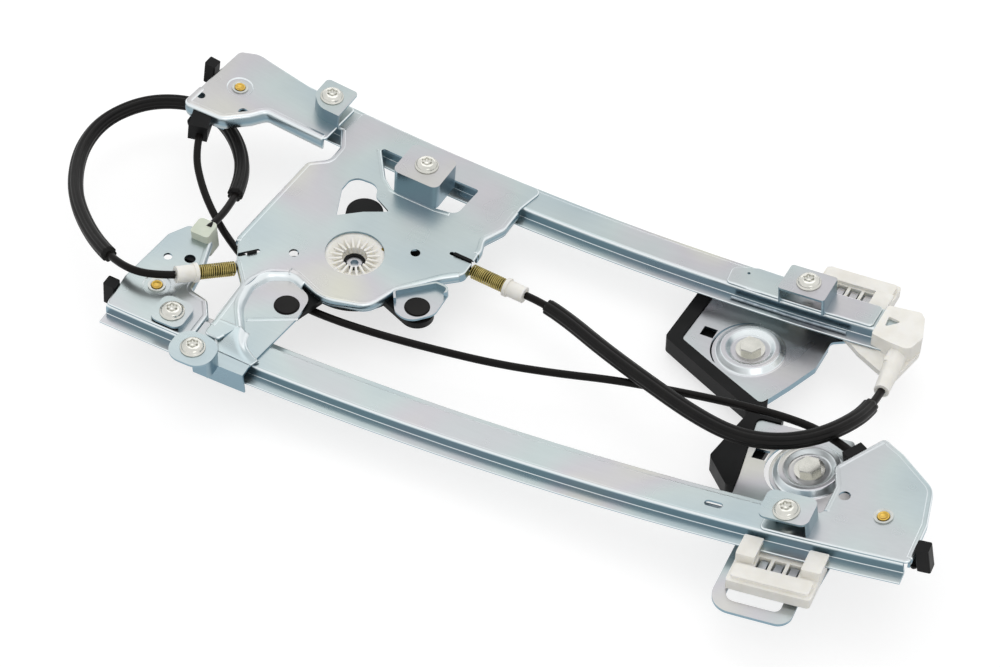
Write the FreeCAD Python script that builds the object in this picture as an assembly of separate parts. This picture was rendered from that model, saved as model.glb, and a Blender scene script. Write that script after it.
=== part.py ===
import FreeCAD, Part
import math
import os

V = FreeCAD.Vector
Z_AXIS = V(0, 0, 1)
Y_AXIS = V(0, 1, 0)
os.makedirs("parts", exist_ok=True)

# Cable window regulator with two bowed rails, lying with its mounting side up.
# +X runs down the window travel, +Y towards the front rail, +Z out of the mounting side.
# The origin is the drum axis on the top face of the drum plate. Lengths are millimetres.

# Sheet metal and the bow of the rails
SHEET = 1.5
BOW_RADIUS = 1642.0
BEND = 2.0
EDGE_LIP = 5.0
ROLL = 1.2
TOP_FLANGE = 9.0
REAR_LIP = 5.0
BOTTOM_LIP = 7.0

# Rail section: a hat with the web on top and a flange each side
WEB_WIDTH = 20.0
RAIL_DEPTH = 7.5
FLANGE_WIDTH = 8.0
RAIL_SHEET = 1.5

# Front rail: web near edge, lowest point and ends
FRONT_NEAR_Y = 92.0
FRONT_LOW_X = 134.0
FRONT_START_X = -110.0
FRONT_END_X = 336.0

# Rear rail: its own frame, turned by the splay of the rails
SPLAY_DEG = 3.3
REAR_ORIGIN_X = 78.6
REAR_ORIGIN_Y = -104.4
REAR_BASE_Z = -7.0
REAR_START_X = -189.0
REAR_END_X = 325.5

# Pulleys, ropes and their rivets
PULLEY_GROOVE_RADIUS = 16.0
PULLEY_RADIUS = 18.0
PULLEY_THICKNESS = 6.0
PULLEY_TOP = -2.2
ROPE_RADIUS = 0.9
ROPE_DEPTH = -5.2
FRONT_ROPE_OFFSET = 8.0
REAR_ROPE_OFFSET = 13.0
RIVET_RADIUS = 4.0
RIVET_HEAD_RADIUS = 5.6
RIVET_BORE_RADIUS = 2.4
RIVET_DISH_RADIUS = 9.0
RIVET_DISH_SINK = 0.7
RUNNING_GAP = 0.05

# Drum, its housing and the motor seat
SPIGOT_RADIUS = 19.0
DRUM_RADIUS = 27.0
DRUM_GROOVES = 4
DRUM_GROOVE_DEPTH = 1.0
DRUM_TOP = -1.9
DRUM_THICKNESS = 10.6
DISH_DEPTH = 6.6
DISH_RADIUS = 18.0
DISH_RIBS = 20
HUB_RADIUS = 7.0
PIVOT_RADIUS = 5.0
PIVOT_BORE = 2.6
HOUSING_RADIUS = 36.0
HOUSING_WALL = 1.8
HOUSING_DEPTH = 15.0
MOTOR_HOLE_X = 32.5
MOTOR_HOLE_Y = 20.5
MOTOR_HOLE_RADIUS = 3.2
BUSH_RADIUS = 8.0

# Screws of the six stand-offs
SCREW_SHANK_RADIUS = 3.0
SCREW_HOLE_RADIUS = 3.3
SCREW_FLANGE_RADIUS = 7.8
SCREW_HEAD_RADIUS = 5.2
SCREW_FLANGE_HEIGHT = 1.6
SCREW_HEAD_HEIGHT = 4.2
SCREW_LENGTH = 9.0
STANDOFF_A_HEIGHT = 12.0
STANDOFF_B_HEIGHT = 20.0
STANDOFF_C_HEIGHT = 14.0
STANDOFF_D_HEIGHT = 5.0
STANDOFF_E_HEIGHT = 13.0
STANDOFF_F_HEIGHT = 12.0

# Carriages: plate level below the web, shoe and glass parts
CARRIAGE_TOP = -18.0
CARRIAGE_SHEET = 2.0
DISH_RISE = 1.0
DOME_RISE = 4.0
DOME_FOOT_RADIUS = 24.0
DOME_CREST_RADIUS = 17.0
BOLT_DISH_RADIUS = 12.4
GLASS_BOLT_RADIUS = 4.0
GLASS_BOLT_HEAD = 8.2
GLASS_BOLT_LENGTH = 16.0
HOLDER_THICKNESS = 9.0
SHOE_LENGTH = 50.0
SHOE_GAP = 0.3
SHOE_POST = 11.5
SHOE_BASE_TOP = -10.6
SHOE_POST_TOP = -4.0
SHOE_REACH = 24.0

# Cables and their fittings
CABLE_RADIUS = 2.5
SLEEVE_RADIUS = 5.0
SPRING_RADIUS = 5.0
SPRING_LENGTH = 25.0
FERRULE_RADIUS = 5.4
FERRULE_LENGTH = 14.0


# Where the pulleys and the stand-offs' screws stand, in each rail's own frame
FRONT_TOP_PULLEY = (-139.0, FRONT_NEAR_Y + FRONT_ROPE_OFFSET - PULLEY_GROOVE_RADIUS)
REAR_TOP_PULLEY = (-170.0, REAR_ROPE_OFFSET + PULLEY_GROOVE_RADIUS)
REAR_BOTTOM_PULLEY = (305.0, REAR_ROPE_OFFSET + PULLEY_GROOVE_RADIUS)
STANDOFF_A = (-80.0, 103.0)
STANDOFF_B = (8.0, 76.0)
STANDOFF_C = (-119.0, -14.0)
STANDOFF_D = (-149.0, 12.0)
STANDOFF_E = (268.0, 102.0)
STANDOFF_F = (256.0, 9.0)

# Drum plate: corners (x, y, radius) of its outline and openings, its bushes and the cable mouths under it
PLATE_OUTLINE = [
    (-60, 112, 3), (-63, 92, 5), (-56, 76, 6), (-56, 62, 8), (-67, 52, 6), (-69, -28, 5), (-60, -44, 8),
    (-46, -60, 8), (-44, -106, 3), (-34, -106, 3), (-29, -93, 10), (-44, -66, 14), (-40, -44, 12),
    (-24, -34, 10), (2, -43, 24), (30, -34, 14), (37, -14, 6), (58, 11, 8), (68, 20, 6), (67, 44, 6),
    (64, 53, 6), (71, 68, 8), (71, 90, 5), (76, 112, 5)]
WINDOW_OUTLINE = [(-34, 90.5, 2), (-18, 68, 8), (-9, 61.5, 4), (24, 61.5, 6), (38, 64, 6), (40, 90.5, 2)]
KEYHOLE_OUTLINE = [(-36, 44, 4), (-36, 58, 8), (-18, 60, 8), (-14, 50, 4), (0, 43, 1), (-14, 34, 12),
                   (-27, 22, 1)]
TONGUE_OUTLINE = [(-8, -107, 1), (-4, -62, 8), (-6, -44, 10), (-24, -36, 10), (-40.5, -43, 8), (-45, -66, 8),
                  (-30.5, -93, 8), (-34, -107, 1)]
LEFT_BUSH = (-15.0, -57.0)
RIGHT_BUSH = (55.0, -16.0)
LUG_OUTLINE = [(36, -14, 3), (44, -26, 8), (55, -30, 11), (67, -16, 9), (66, 6, 4), (56, 6, 3)]
LEFT_MOUTH = (-57.9, -49.6, 2.6)
LEFT_AIM = (-0.607, -0.757, 0.24)
RIGHT_MOUTH = (66.6, 32.4, -12.6)
RIGHT_AIM = (0.997, -0.03, -0.06)

# Rope nipple in the drum
NIPPLE_RADIUS = 2.0
NIPPLE_X = 13.2
NIPPLE_Y = 14.8

# End guide of the front rail
GUIDE_CAP = [(316, 86, 2), (328, 83, 4), (342, 81, 5), (346, 94, 4), (341, 110, 4),
             (337, 114.5, 3), (316, 113, 2)]
GUIDE_WING = [(294, 91.5, 1), (311, 79, 3), (329, 69, 4), (340, 64, 4), (346, 92, 4),
              (340, 113, 3), (316, 113, 2)]
GUIDE_MOUTH = (338, 50, -0.6)
GUIDE_AIM = (-0.1, 0.99, -0.06)

# Carriages: bolt seats, shoe seats (first station, flange edge, way outwards) and outlines
FRONT_BOLT = (247.5, 60.5)
REAR_BOLT = (247.0, 66.5)
FRONT_SHOE = (264.0, FRONT_NEAR_Y + WEB_WIDTH + FLANGE_WIDTH, 1)
REAR_SHOE = (235.0, -FLANGE_WIDTH, -1)
FRONT_PLATE = [(206, 52, 4), (273, 22, 3), (283, 44, 2), (291, 64, 3), (291, 88, 3), (312, 100, 4),
               (312, 133, 3), (266, 133, 3), (240, 104, 5), (208, 95, 4)]
REAR_PLATE = [(214, 30, 4), (212, 52, 5), (206, 97, 3), (266, 97, 3), (284, 64, 3), (288, 30, 4),
              (284, -22, 3), (238, -22, 3), (236, 8, 4)]
FRONT_HOLDER = [(196, 48, 4), (269, 14, 4), (277, 26, 2), (226, 56, 8), (222, 98, 3), (198, 98, 4)]
REAR_HOLDER = [(190, 59, 4), (208, 40, 3), (226, 46, 3), (218, 64, 5), (221, 104, 3), (200, 104, 4)]

# Routes of the cables, chosen by hand
CABLE_A = [(-81.9, -79.5, 12.1), (-93.2, -88, 14.1), (-109.5, -90.6, 14.3), (-131, -83, 10.5),
           (-158, -66, 4), (-185, -43, -1), (-204, -18, -5), (-217, 9, -8), (-219, 35, -8),
           (-209, 58, -8), (-193, 72, -8), (-171, 79, -8), (-148, 73, -8), (-126, 58, -7),
           (-108, 37, -5), (-97, 12, -2), (-92, -8, 2), (-90, -22, 5.5), (-89.4, -31, 7)]
CABLE_B = [(-143.5, 41, 8), (-137, 25, 5), (-120, 6, 0), (-100, -10, -5), (-78, -22, -12), (-50, -34, -16),
           (-19.5, -43.5, -15.4), (11, -45.5, -13.7), (43, -43.5, -12.7), (77.5, -39, -12.1),
           (119.5, -31.5, -11.7), (155.5, -21.5, -11), (190.5, -10, -9.9), (230, -3.5, -6),
           (266, -1, 0), (298, -1, 5.5), (325, -5, 10), (343, -13, 12)]
CABLE_C = [(106.5, 31.2, -14.7), (120, 29, -13), (144, 20, -10), (174, 5, -5), (213, -12, 1.5),
           (252, -28.5, 9), (281.5, -36.5, 15), (305, -32, 18), (323.5, -17.5, 18),
           (335, 6, 13), (338.5, 31, 3.5), (338, 49.9, -0.4)]


def rounded(points, z=0.0):
    """Closed wire through corners (x, y, radius); every radius is a tangent arc."""
    count = len(points)
    corners = []
    for index, (x, y, radius) in enumerate(points):
        here = V(x, y, z)
        before = V(points[index - 1][0], points[index - 1][1], z) - here
        after = V(points[(index + 1) % count][0], points[(index + 1) % count][1], z) - here
        before.normalize()
        after.normalize()
        if radius <= 0:
            corners.append((here, None, here))
            continue
        half = before.getAngle(after) / 2
        inward = before + after
        inward.normalize()
        centre = here + inward * (radius / math.sin(half))
        reach = radius / math.tan(half)
        corners.append((here + before * reach, centre - inward * radius, here + after * reach))
    edges = []
    for index, (start, middle, end) in enumerate(corners):
        if middle is not None:
            edges.append(Part.Arc(start, middle, end).toShape())
        following = corners[(index + 1) % count][0]
        if (following - end).Length > 1e-4:
            edges.append(Part.LineSegment(end, following).toShape())
    return Part.Wire(edges)


def prism(points, low, high):
    """Upright prism over a rounded outline."""
    return Part.Face(rounded(points, low)).extrude(V(0, 0, high - low))


def cylinder(radius, low, high, x=0.0, y=0.0):
    """Upright cylinder from one height to another."""
    return Part.makeCylinder(radius, high - low, V(x, y, low), Z_AXIS)


def cone(low_radius, high_radius, low, high, x=0.0, y=0.0):
    """Upright cone frustum from one height to another."""
    return Part.makeCone(low_radius, high_radius, high - low, V(x, y, low), Z_AXIS)


def box(x0, x1, y0, y1, z0, z1):
    """Box between two corners."""
    return Part.makeBox(x1 - x0, y1 - y0, z1 - z0, V(x0, y0, z0))


def slot(x, y, length, width, low, high, turn=0.0):
    """Upright slot with round ends, its length turned from +X."""
    half = (length - width) / 2
    body = box(-half, half, -width / 2, width / 2, low, high)
    body = body.fuse([cylinder(width / 2, low, high, -half), cylinder(width / 2, low, high, half)])
    body.rotate(V(0, 0, 0), Z_AXIS, turn)
    body.translate(V(x, y, 0))
    return body


class RailFrame:
    """Where a rail stands: heights are measured from its web, along the bow."""

    def __init__(self, low_x, base_z, place):
        self.low_x = low_x
        self.base_z = base_z
        self.place = place

    def height(self, x):
        """Height of the web's top face at a station."""
        run = x - self.low_x
        return self.base_z + BOW_RADIUS - math.sqrt(BOW_RADIUS ** 2 - run ** 2)

    def lean(self, x):
        """Turn about +Y, in degrees, that stands +Z on the web at a station."""
        return -math.degrees(math.asin((x - self.low_x) / BOW_RADIUS))

    def band(self, low, high):
        """Everything between two heights above the web."""
        centre = V(self.low_x, -300, self.base_z + BOW_RADIUS)
        outer = Part.makeCylinder(BOW_RADIUS - low, 700, centre, Y_AXIS)
        inner = Part.makeCylinder(BOW_RADIUS - high, 700, centre, Y_AXIS)
        window = box(self.low_x - 420, self.low_x + 420, -300, 400, self.base_z - 60, self.base_z + 160)
        return outer.common(window).cut(inner)

    def sheet(self, points, low, high, holes=()):
        """Part of a band inside an outline, less the holes."""
        heights = [self.height(point[0]) for point in points]
        lowest = min(min(heights), self.base_z) + low - 5
        highest = max(heights) + high + 5
        body = prism(points, lowest, highest).common(self.band(low, high))
        for hole in holes:
            body = body.cut(hole)
        return body

    def stand(self, shape, x, y, above=0.0):
        """Copy of a shape modelled at the origin, stood on the web at a station."""
        copy = shape.copy()
        copy.translate(V(0, 0, above))
        copy.rotate(V(0, 0, 0), Y_AXIS, self.lean(x))
        copy.translate(V(x, y, self.height(x)))
        return copy

    def sweep(self, profile_points, start_x, end_x):
        """Section (y, height, radius) carried along the bow between two stations."""
        corners = [(y, height, radius) for y, height, radius in profile_points]
        wire = rounded(corners)
        face = Part.Face(wire)
        face.rotate(V(0, 0, 0), V(1, 0, 0), 90)
        face.rotate(V(0, 0, 0), Z_AXIS, 90)
        face.translate(V(self.low_x, 0, self.base_z))
        centre = V(self.low_x, 0, self.base_z + BOW_RADIUS)
        begin = math.degrees(math.asin((start_x - self.low_x) / BOW_RADIUS))
        finish = math.degrees(math.asin((end_x - self.low_x) / BOW_RADIUS))
        face.rotate(centre, Y_AXIS, -begin)
        return face.revolve(centre, Y_AXIS, begin - finish)


front = RailFrame(FRONT_LOW_X, -SHEET - (BOW_RADIUS - math.sqrt(BOW_RADIUS ** 2 - FRONT_LOW_X ** 2)),
                  FreeCAD.Placement())
rear = RailFrame(0.0, REAR_BASE_Z,
                 FreeCAD.Placement(V(REAR_ORIGIN_X, REAR_ORIGIN_Y, 0), FreeCAD.Rotation(Z_AXIS, SPLAY_DEG)))


def in_rear(points):
    """Corners given in the part's frame, carried into the rear rail's own frame."""
    moved = []
    for x, y, radius in points:
        local = rear.place.inverse().multVec(V(x, y, 0))
        moved.append((local.x, local.y, radius))
    return moved


def placed(frame, shape):
    """Copy of a shape carried from a rail's own frame into the part's frame."""
    copy = shape.copy()
    copy.Placement = frame.place.multiply(copy.Placement)
    return copy


def joined(first, *others):
    """One solid from pieces that meet."""
    body = first.fuse(list(others))
    return body.removeSplitter()


def write(node, shape):
    """Check a node and write its file."""
    if not shape.isValid():
        print(node, "isn't valid")
    solids = shape.Solids
    if len(solids) == 1:
        shape = solids[0]
    else:
        shape = Part.makeCompound(solids)
    box_of = shape.BoundBox
    print("%-26s solids %d volume %9.1f  x %.1f %.1f  y %.1f %.1f  z %.1f %.1f" % (
        node, len(solids), shape.Volume, box_of.XMin, box_of.XMax, box_of.YMin, box_of.YMax,
        box_of.ZMin, box_of.ZMax))
    shape.exportStep("parts/" + node + ".step")


# Rails


def hat_section(near_y):
    """Hat section with round bends, from one flange lip over the web to the other."""
    far_y = near_y + WEB_WIDTH
    depth = RAIL_DEPTH
    wall = RAIL_SHEET
    outside = BEND
    inside = max(BEND - wall, 0.3)
    return [
        (near_y - FLANGE_WIDTH, -depth, 0.7), (near_y - FLANGE_WIDTH, -depth - wall, 0.7),
        (near_y + wall, -depth - wall, outside), (near_y + wall, -wall, inside),
        (far_y - wall, -wall, inside), (far_y - wall, -depth - wall, outside),
        (far_y + FLANGE_WIDTH, -depth - wall, 0.7), (far_y + FLANGE_WIDTH, -depth, 0.7),
        (far_y, -depth, inside), (far_y, 0.0, outside),
        (near_y, 0.0, outside), (near_y, -depth, inside),
    ]


def front_rail():
    """Front rail."""
    return front.sweep(hat_section(FRONT_NEAR_Y), FRONT_START_X, FRONT_END_X)


def rear_rail():
    """Rear rail with the slot in its web and the room cut for its two pulleys."""
    body = rear.sweep(hat_section(0.0), REAR_START_X, REAR_END_X)
    body = body.cut(slot(211, 10, 11, 4.5, -20, 60))
    body = body.cut(rear.stand(cylinder(SCREW_SHANK_RADIUS + 0.8, -20, 20), STANDOFF_D[0], STANDOFF_D[1]))
    for centre in (REAR_TOP_PULLEY, REAR_BOTTOM_PULLEY):
        room = box(-PULLEY_RADIUS - 2, PULLEY_RADIUS + 2, 16 - centre[1], 12, -30, 0.3 - RAIL_SHEET)
        body = body.cut(rear.stand(room, centre[0], centre[1]))
    return body


# Pressed sheet and stand-offs


def pressed(frame, outline, drop=SHEET, lips=()):
    """Sheet over the web with a rounded edge, turned down inside the lip masks."""
    block = prism(outline, -60, 100).common(frame.band(-drop, SHEET))
    edges = [edge for edge in block.Edges if on_top(frame, edge)]
    body = block.makeFillet(ROLL, edges)
    if not body.isValid():
        print("a rolled edge isn't valid")
    body = body.cut(prism_inset(outline, SHEET, -61, 101).common(frame.band(-drop - 5, 0)))
    below = box(-400, 500, -300, 300, -60, 100).common(frame.band(-drop - 1, 0))
    for mask in lips:
        below = below.cut(prism(mask, -61, 101))
    return body.cut(below)


def on_top(frame, edge):
    """Whether an edge lies all along on the top face of the sheet."""
    span = edge.LastParameter - edge.FirstParameter
    for share in (0.0, 0.5, 1.0):
        point = edge.valueAt(edge.FirstParameter + span * share)
        reach = math.hypot(point.x - frame.low_x, point.z - frame.base_z - BOW_RADIUS)
        if abs(reach - BOW_RADIUS + SHEET) > 0.01:
            return False
    return True


def bracket_hole(frame, centre):
    """Hole that a pulley's rivet fills."""
    return frame.stand(cylinder(RIVET_RADIUS, -1, SHEET + 1), centre[0], centre[1])


def rivet_dish(frame, centre):
    """Shallow round dish that sinks a rivet's head into its bracket."""
    dish = cone(RIVET_DISH_RADIUS - 0.8, RIVET_DISH_RADIUS, SHEET - RIVET_DISH_SINK, SHEET + 0.05)
    return frame.stand(dish, centre[0], centre[1])


def front_top_bracket():
    """Bracket over the front rail's upper end, with its pulley dish and stand-off."""
    outline = [(-161, 50, 4), (-133, 53, 8), (-120, 66, 8), (-113, 76, 6), (-68, 76, 3), (-66, 112, 3),
               (-100, 112, 30), (-145, 118, 12), (-157, 112, 5)]
    holes = [cylinder(2.8, -20, 60, -155, 62), cylinder(3.2, -20, 60, -125, 66),
             rivet_dish(front, FRONT_TOP_PULLEY), bracket_hole(front, FRONT_TOP_PULLEY),
             cylinder(6.5, -20, 60, STANDOFF_A[0], STANDOFF_A[1])]
    flange = [(-170, 40, 0), (-133, 40, 0), (-133, 60, 0), (-155, 60, 0), (-156, 70, 0), (-170, 70, 0)]
    plate = pressed(front, outline, TOP_FLANGE, [flange])
    for hole in holes:
        plate = plate.cut(hole)
    return joined(plate, standoff_a())


def standoff_a():
    """Stand-off with a wall curved round its screw."""
    reach = 13.0
    top = prism([(-11, -4, 11), (-2, -reach, 11), (reach, -reach, 3), (reach, reach, 3), (-11, reach, 3)],
                STANDOFF_A_HEIGHT - SHEET, STANDOFF_A_HEIGHT)
    outer = prism([(-11, -4, 11), (-2, -reach, 11), (reach, -reach, 0.5), (reach, reach, 3), (-11, reach, 3)],
                  0, STANDOFF_A_HEIGHT)
    inner = prism([(-11 + SHEET, -4, 9.5), (-2, -reach + SHEET, 9.5), (reach + 1, -reach + SHEET, 0.5),
                   (reach + 1, reach + 1, 3), (-11 + SHEET, reach + 1, 3)], -1, STANDOFF_A_HEIGHT - SHEET)
    wall = outer.cut(inner)
    body = joined(wall, top).cut(cylinder(SCREW_HOLE_RADIUS, 0, STANDOFF_A_HEIGHT + 1))
    return front.stand(body, STANDOFF_A[0], STANDOFF_A[1], 0.4)


def bridge(x0, x1, y0, y1, height, walls, corner=3.0):
    """Stand-off top about its screw, carried by walls named by side: left, right, near, far."""
    outline = [(x0, y0, corner), (x1, y0, corner), (x1, y1, corner), (x0, y1, corner)]
    pieces = [prism(outline, height - SHEET, height)]
    column = prism(outline, 0.4, height)
    for side in walls:
        if side == "left":
            pieces.append(column.common(box(x0, x0 + SHEET, y0, y1, 0.4, height)))
        if side == "right":
            pieces.append(column.common(box(x1 - SHEET, x1, y0, y1, 0.4, height)))
        if side == "near":
            pieces.append(column.common(box(x0, x1, y0, y0 + SHEET, 0.4, height)))
        if side == "far":
            pieces.append(column.common(box(x0, x1, y1 - SHEET, y1, 0.4, height)))
    body = joined(pieces[0], *pieces[1:])
    return body.cut(cylinder(SCREW_HOLE_RADIUS, 0, height + 1))


def front_lower_bracket():
    """Doubler on the front rail's web with its square stand-off."""
    outline = [(216, FRONT_NEAR_Y + 0.5, 3), (314, FRONT_NEAR_Y + 0.5, 3), (314, 111.5, 3), (230, 112.5, 6),
               (214, 107, 5)]
    holes = [cylinder(6.5, -40, 40, STANDOFF_E[0], STANDOFF_E[1]), cylinder(1.0, -40, 40, 226, 105)]
    plate = pressed(front, outline)
    for hole in holes:
        plate = plate.cut(hole)
    stand = bridge(-16, 15, -12, 11, STANDOFF_E_HEIGHT, ["left", "right"], 2.0)
    return joined(plate, front.stand(stand, STANDOFF_E[0], STANDOFF_E[1]))


def rear_top_bracket():
    """Bracket over the rear rail's upper end."""
    outline = [(-189, 0.5, 3), (-130, 0.5, 3), (-130, 22, 3), (-137, 33, 3), (-150, 36, 4), (-153, 56, 3),
               (-160, 80, 4), (-178, 84, 4), (-186, 70, 3), (-191, 26, 4)]
    holes = [cylinder(2.8, -20, 60, -176, 53), cylinder(3.6, -20, 60, -163, 58),
             rivet_dish(rear, REAR_TOP_PULLEY), bracket_hole(rear, REAR_TOP_PULLEY),
             cylinder(6.5, -20, 60, STANDOFF_D[0], STANDOFF_D[1])]
    edge = [(-158, 78, 0), (-140, 84, 0), (-120, 30, 0), (-134, 20, 0), (-150, 30, 0)]
    plate = pressed(rear, outline, REAR_LIP, [edge])
    for hole in holes:
        plate = plate.cut(hole)
    stand = bridge(-11, 11, -11, 11, STANDOFF_D_HEIGHT, ["left", "right", "far"], 6.0)
    return joined(plate, rear.stand(stand, STANDOFF_D[0], STANDOFF_D[1]))


def rear_bottom_bracket():
    """Bracket over the rear rail's lower end, its outer edge turned down."""
    outline = [(242, 0.5, 3), (329, 0.5, 3), (329, 30, 6), (324, 57, 14), (300, 78, 6), (286, 87, 4),
               (266, 58, 5), (272, 44, 8), (272, 22, 4), (242, 19.5, 4)]
    holes = [cylinder(3.4, -40, 60, 279, 38), bracket_hole(rear, REAR_BOTTOM_PULLEY),
             cylinder(6.5, -40, 60, STANDOFF_F[0], STANDOFF_F[1])]
    edge = [(322, 4, 0), (340, 4, 0), (340, 60, 0), (298, 92, 0), (292, 82, 0), (316, 56, 0), (322, 30, 0)]
    plate = pressed(rear, outline, BOTTOM_LIP, [edge])
    for hole in holes:
        plate = plate.cut(hole)
    stand = bridge(-15, 15, -8.5, 13, STANDOFF_F_HEIGHT, ["right", "far"], 5.0)
    return joined(plate, rear.stand(stand, STANDOFF_F[0], STANDOFF_F[1]))


# Drum plate


def on_drum(shape):
    """Copy of a shape modelled about the drum axis, tilted with the plate at the drum."""
    copy = shape.copy()
    copy.rotate(V(0, 0, 0), Y_AXIS, front.lean(0))
    return copy


def drum_plate():
    """Drum plate: strip on the front rail's web, drum seat, motor lugs, leg and two stand-offs."""
    holes = [prism(WINDOW_OUTLINE, -40, 60), prism(KEYHOLE_OUTLINE, -40, 60),
             on_drum(cylinder(SPIGOT_RADIUS, -10, 10)),
             on_drum(cylinder(MOTOR_HOLE_RADIUS, -10, 10, MOTOR_HOLE_X, MOTOR_HOLE_Y)),
             on_drum(cylinder(MOTOR_HOLE_RADIUS, -10, 10, -MOTOR_HOLE_X, -MOTOR_HOLE_Y)),
             slot(-56, -36, 15, 3, -40, 60, 50), slot(62, 32, 22, 3, -40, 60, 0)]
    upper = [(-80, 88, 0), (-80, -29, 0), (-58, -29, 0), (-58, 40, 0), (-40, 88, 0)]
    leg = [(-60, -57, 0), (-44.4, -57, 0), (-43.4, -86, 0), (-60, -86, 0)]
    seat = [(-22, -50, 0), (80, -50, 0), (80, 27, 0), (60, 27, 0), (30, -10, 0), (20, -28, 0), (-22, -28, 0)]
    far = [(60, 38, 0), (90, 38, 0), (90, 88, 0), (62, 88, 0)]
    plate = pressed(front, PLATE_OUTLINE, EDGE_LIP, (upper, leg, seat, far))
    for hole in holes:
        plate = plate.cut(hole)
    bush_holes = [on_drum(cylinder(BUSH_RADIUS + 0.2, -30, 20, x, y)) for x, y in (LEFT_BUSH, RIGHT_BUSH)]
    tongue = rear.sheet(in_rear(TONGUE_OUTLINE), 0, SHEET)
    step_mask = prism([(-42, -101, 0), (-20, -101, 0), (-20, -84, 0), (-36, -66, 0), (-33, -50, 0),
                       (-20, -40, 0), (4, -48, 0), (4, -36, 0), (-30, -28, 0), (-48, -44, 0), (-50, -70, 0)],
                      -60, 60)
    step = prism_between(PLATE_OUTLINE, SHEET, -60, 60).common(step_mask).common(front.band(-12, SHEET))
    step = step.common(placed(rear, rear.band(0, 60)))
    lug = front.sheet(LUG_OUTLINE, -4.0, -4.0 + SHEET)
    lug_wall = prism(LUG_OUTLINE, -30, 20).cut(prism_inset(LUG_OUTLINE, SHEET, -31, 21))
    wall_zone = [(30, -13, 0), (62, 12, 0), (72, 8, 0), (60, -6, 0), (40, -20, 0)]
    lug_wall = lug_wall.common(prism(wall_zone, -30, 20))
    lug_wall = lug_wall.common(front.band(-4, SHEET))
    pad_holes = [cylinder(6.5, -40, 40, STANDOFF_C[0], STANDOFF_C[1])]
    pad = rear.sheet([(-123, -10.5, 1), (-87, -10.5, 1), (-87, 10, 1), (-123, 10, 1)], 0, SHEET, pad_holes)
    pad_wall = rear.sheet([(-123, -10.5, 0), (-87, -10.5, 0), (-87, -9.2, 0), (-123, -9.2, 0)], -14, SHEET)
    stand_c = bridge(-14, 15, -13, 12, STANDOFF_C_HEIGHT, ["right"], 11.0)
    stand_c = stand_c.cut(box(15.1, 30, -20, 20, 0, 30))
    stand_c = rear.stand(stand_c, STANDOFF_C[0], STANDOFF_C[1])
    stand_b = bridge(-17, 16, -15.6, 14, STANDOFF_B_HEIGHT, ["near", "right"], 5.0)
    stand_b = front.stand(stand_b, STANDOFF_B[0], STANDOFF_B[1])
    body = joined(plate, placed(rear, tongue), step, lug, lug_wall, placed(rear, pad),
                  placed(rear, pad_wall), placed(rear, stand_c), stand_b)
    for hole in bush_holes:
        body = body.cut(hole)
    return body


def prism_inset(points, inset, low, high):
    """Upright prism over a rounded outline drawn in by a wall."""
    drawn_in = rounded(points, 0).makeOffset2D(-inset)
    wire = sorted(drawn_in.Wires, key=lambda one: one.Length)[-1]
    face = Part.Face(wire)
    face.translate(V(0, 0, low))
    return face.extrude(V(0, 0, high - low))


# Drum, pivot and housing


def cable_drum():
    """Cable drum: rope grooves outside, a ribbed dish for the motor's driver inside."""
    bottom = DRUM_TOP - DRUM_THICKNESS
    body = cylinder(DRUM_RADIUS, bottom, DRUM_TOP)
    pitch = (DRUM_THICKNESS - 2.0) / DRUM_GROOVES
    for index in range(DRUM_GROOVES):
        middle = bottom + 1.0 + pitch * (index + 0.5)
        groove = cylinder(DRUM_RADIUS + 1, middle - pitch * 0.3, middle + pitch * 0.3)
        body = body.cut(groove.cut(cylinder(DRUM_RADIUS - DRUM_GROOVE_DEPTH, middle - 2, middle + 2)))
    floor = DRUM_TOP - DISH_DEPTH
    dish = cone(HUB_RADIUS + 1.5, DISH_RADIUS, floor, DRUM_TOP)
    ribs = []
    for index in range(DISH_RIBS):
        rib = box(HUB_RADIUS + 1.0, DISH_RADIUS + 0.5, -0.7, 0.7, floor - 0.5, DRUM_TOP - 1.2)
        rib.rotate(V(0, 0, 0), Z_AXIS, index * 360.0 / DISH_RIBS)
        ribs.append(rib)
    dish = dish.cut(Part.makeCompound(ribs))
    body = body.cut(dish)
    body = body.cut(cylinder(HUB_RADIUS, bottom - 1, DRUM_TOP))
    body = body.cut(cylinder(NIPPLE_RADIUS, DRUM_TOP - 6, DRUM_TOP + 1, NIPPLE_X, NIPPLE_Y))
    return on_drum(body)


def drum_hub():
    """Bearing sleeve pressed in the drum."""
    bottom = DRUM_TOP - DRUM_THICKNESS
    top = DRUM_TOP - DISH_DEPTH + 0.9
    body = cylinder(HUB_RADIUS, bottom, top).cut(cylinder(PIVOT_RADIUS + RUNNING_GAP, bottom - 1, top + 1))
    return on_drum(body)


def drum_nipple():
    """Rope nipple in the drum's rim."""
    return on_drum(cylinder(NIPPLE_RADIUS, DRUM_TOP - 6, DRUM_TOP - 0.6, NIPPLE_X, NIPPLE_Y))


def drum_pivot():
    """Hollow steel pivot that the drum turns on."""
    floor = -HOUSING_DEPTH + HOUSING_WALL
    body = cylinder(PIVOT_RADIUS, floor, DRUM_TOP - DISH_DEPTH - 0.4)
    return on_drum(body.cut(cylinder(PIVOT_BORE, floor + 2, 0)))


def capsule(x0, y0, x1, y1, radius, low, high):
    """Upright slab with round ends between two centres."""
    length = math.hypot(x1 - x0, y1 - y0)
    turn = math.degrees(math.atan2(y1 - y0, x1 - x0))
    return slot((x0 + x1) / 2, (y0 + y1) / 2, length + 2 * radius, 2 * radius, low, high, turn)


def along(point, aim, radius, start, end):
    """Round bar on a cable mouth's axis between two distances from the mouth."""
    direction = V(*aim)
    direction.normalize()
    return Part.makeCylinder(radius, end - start, V(*point) + direction * start, direction)


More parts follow.
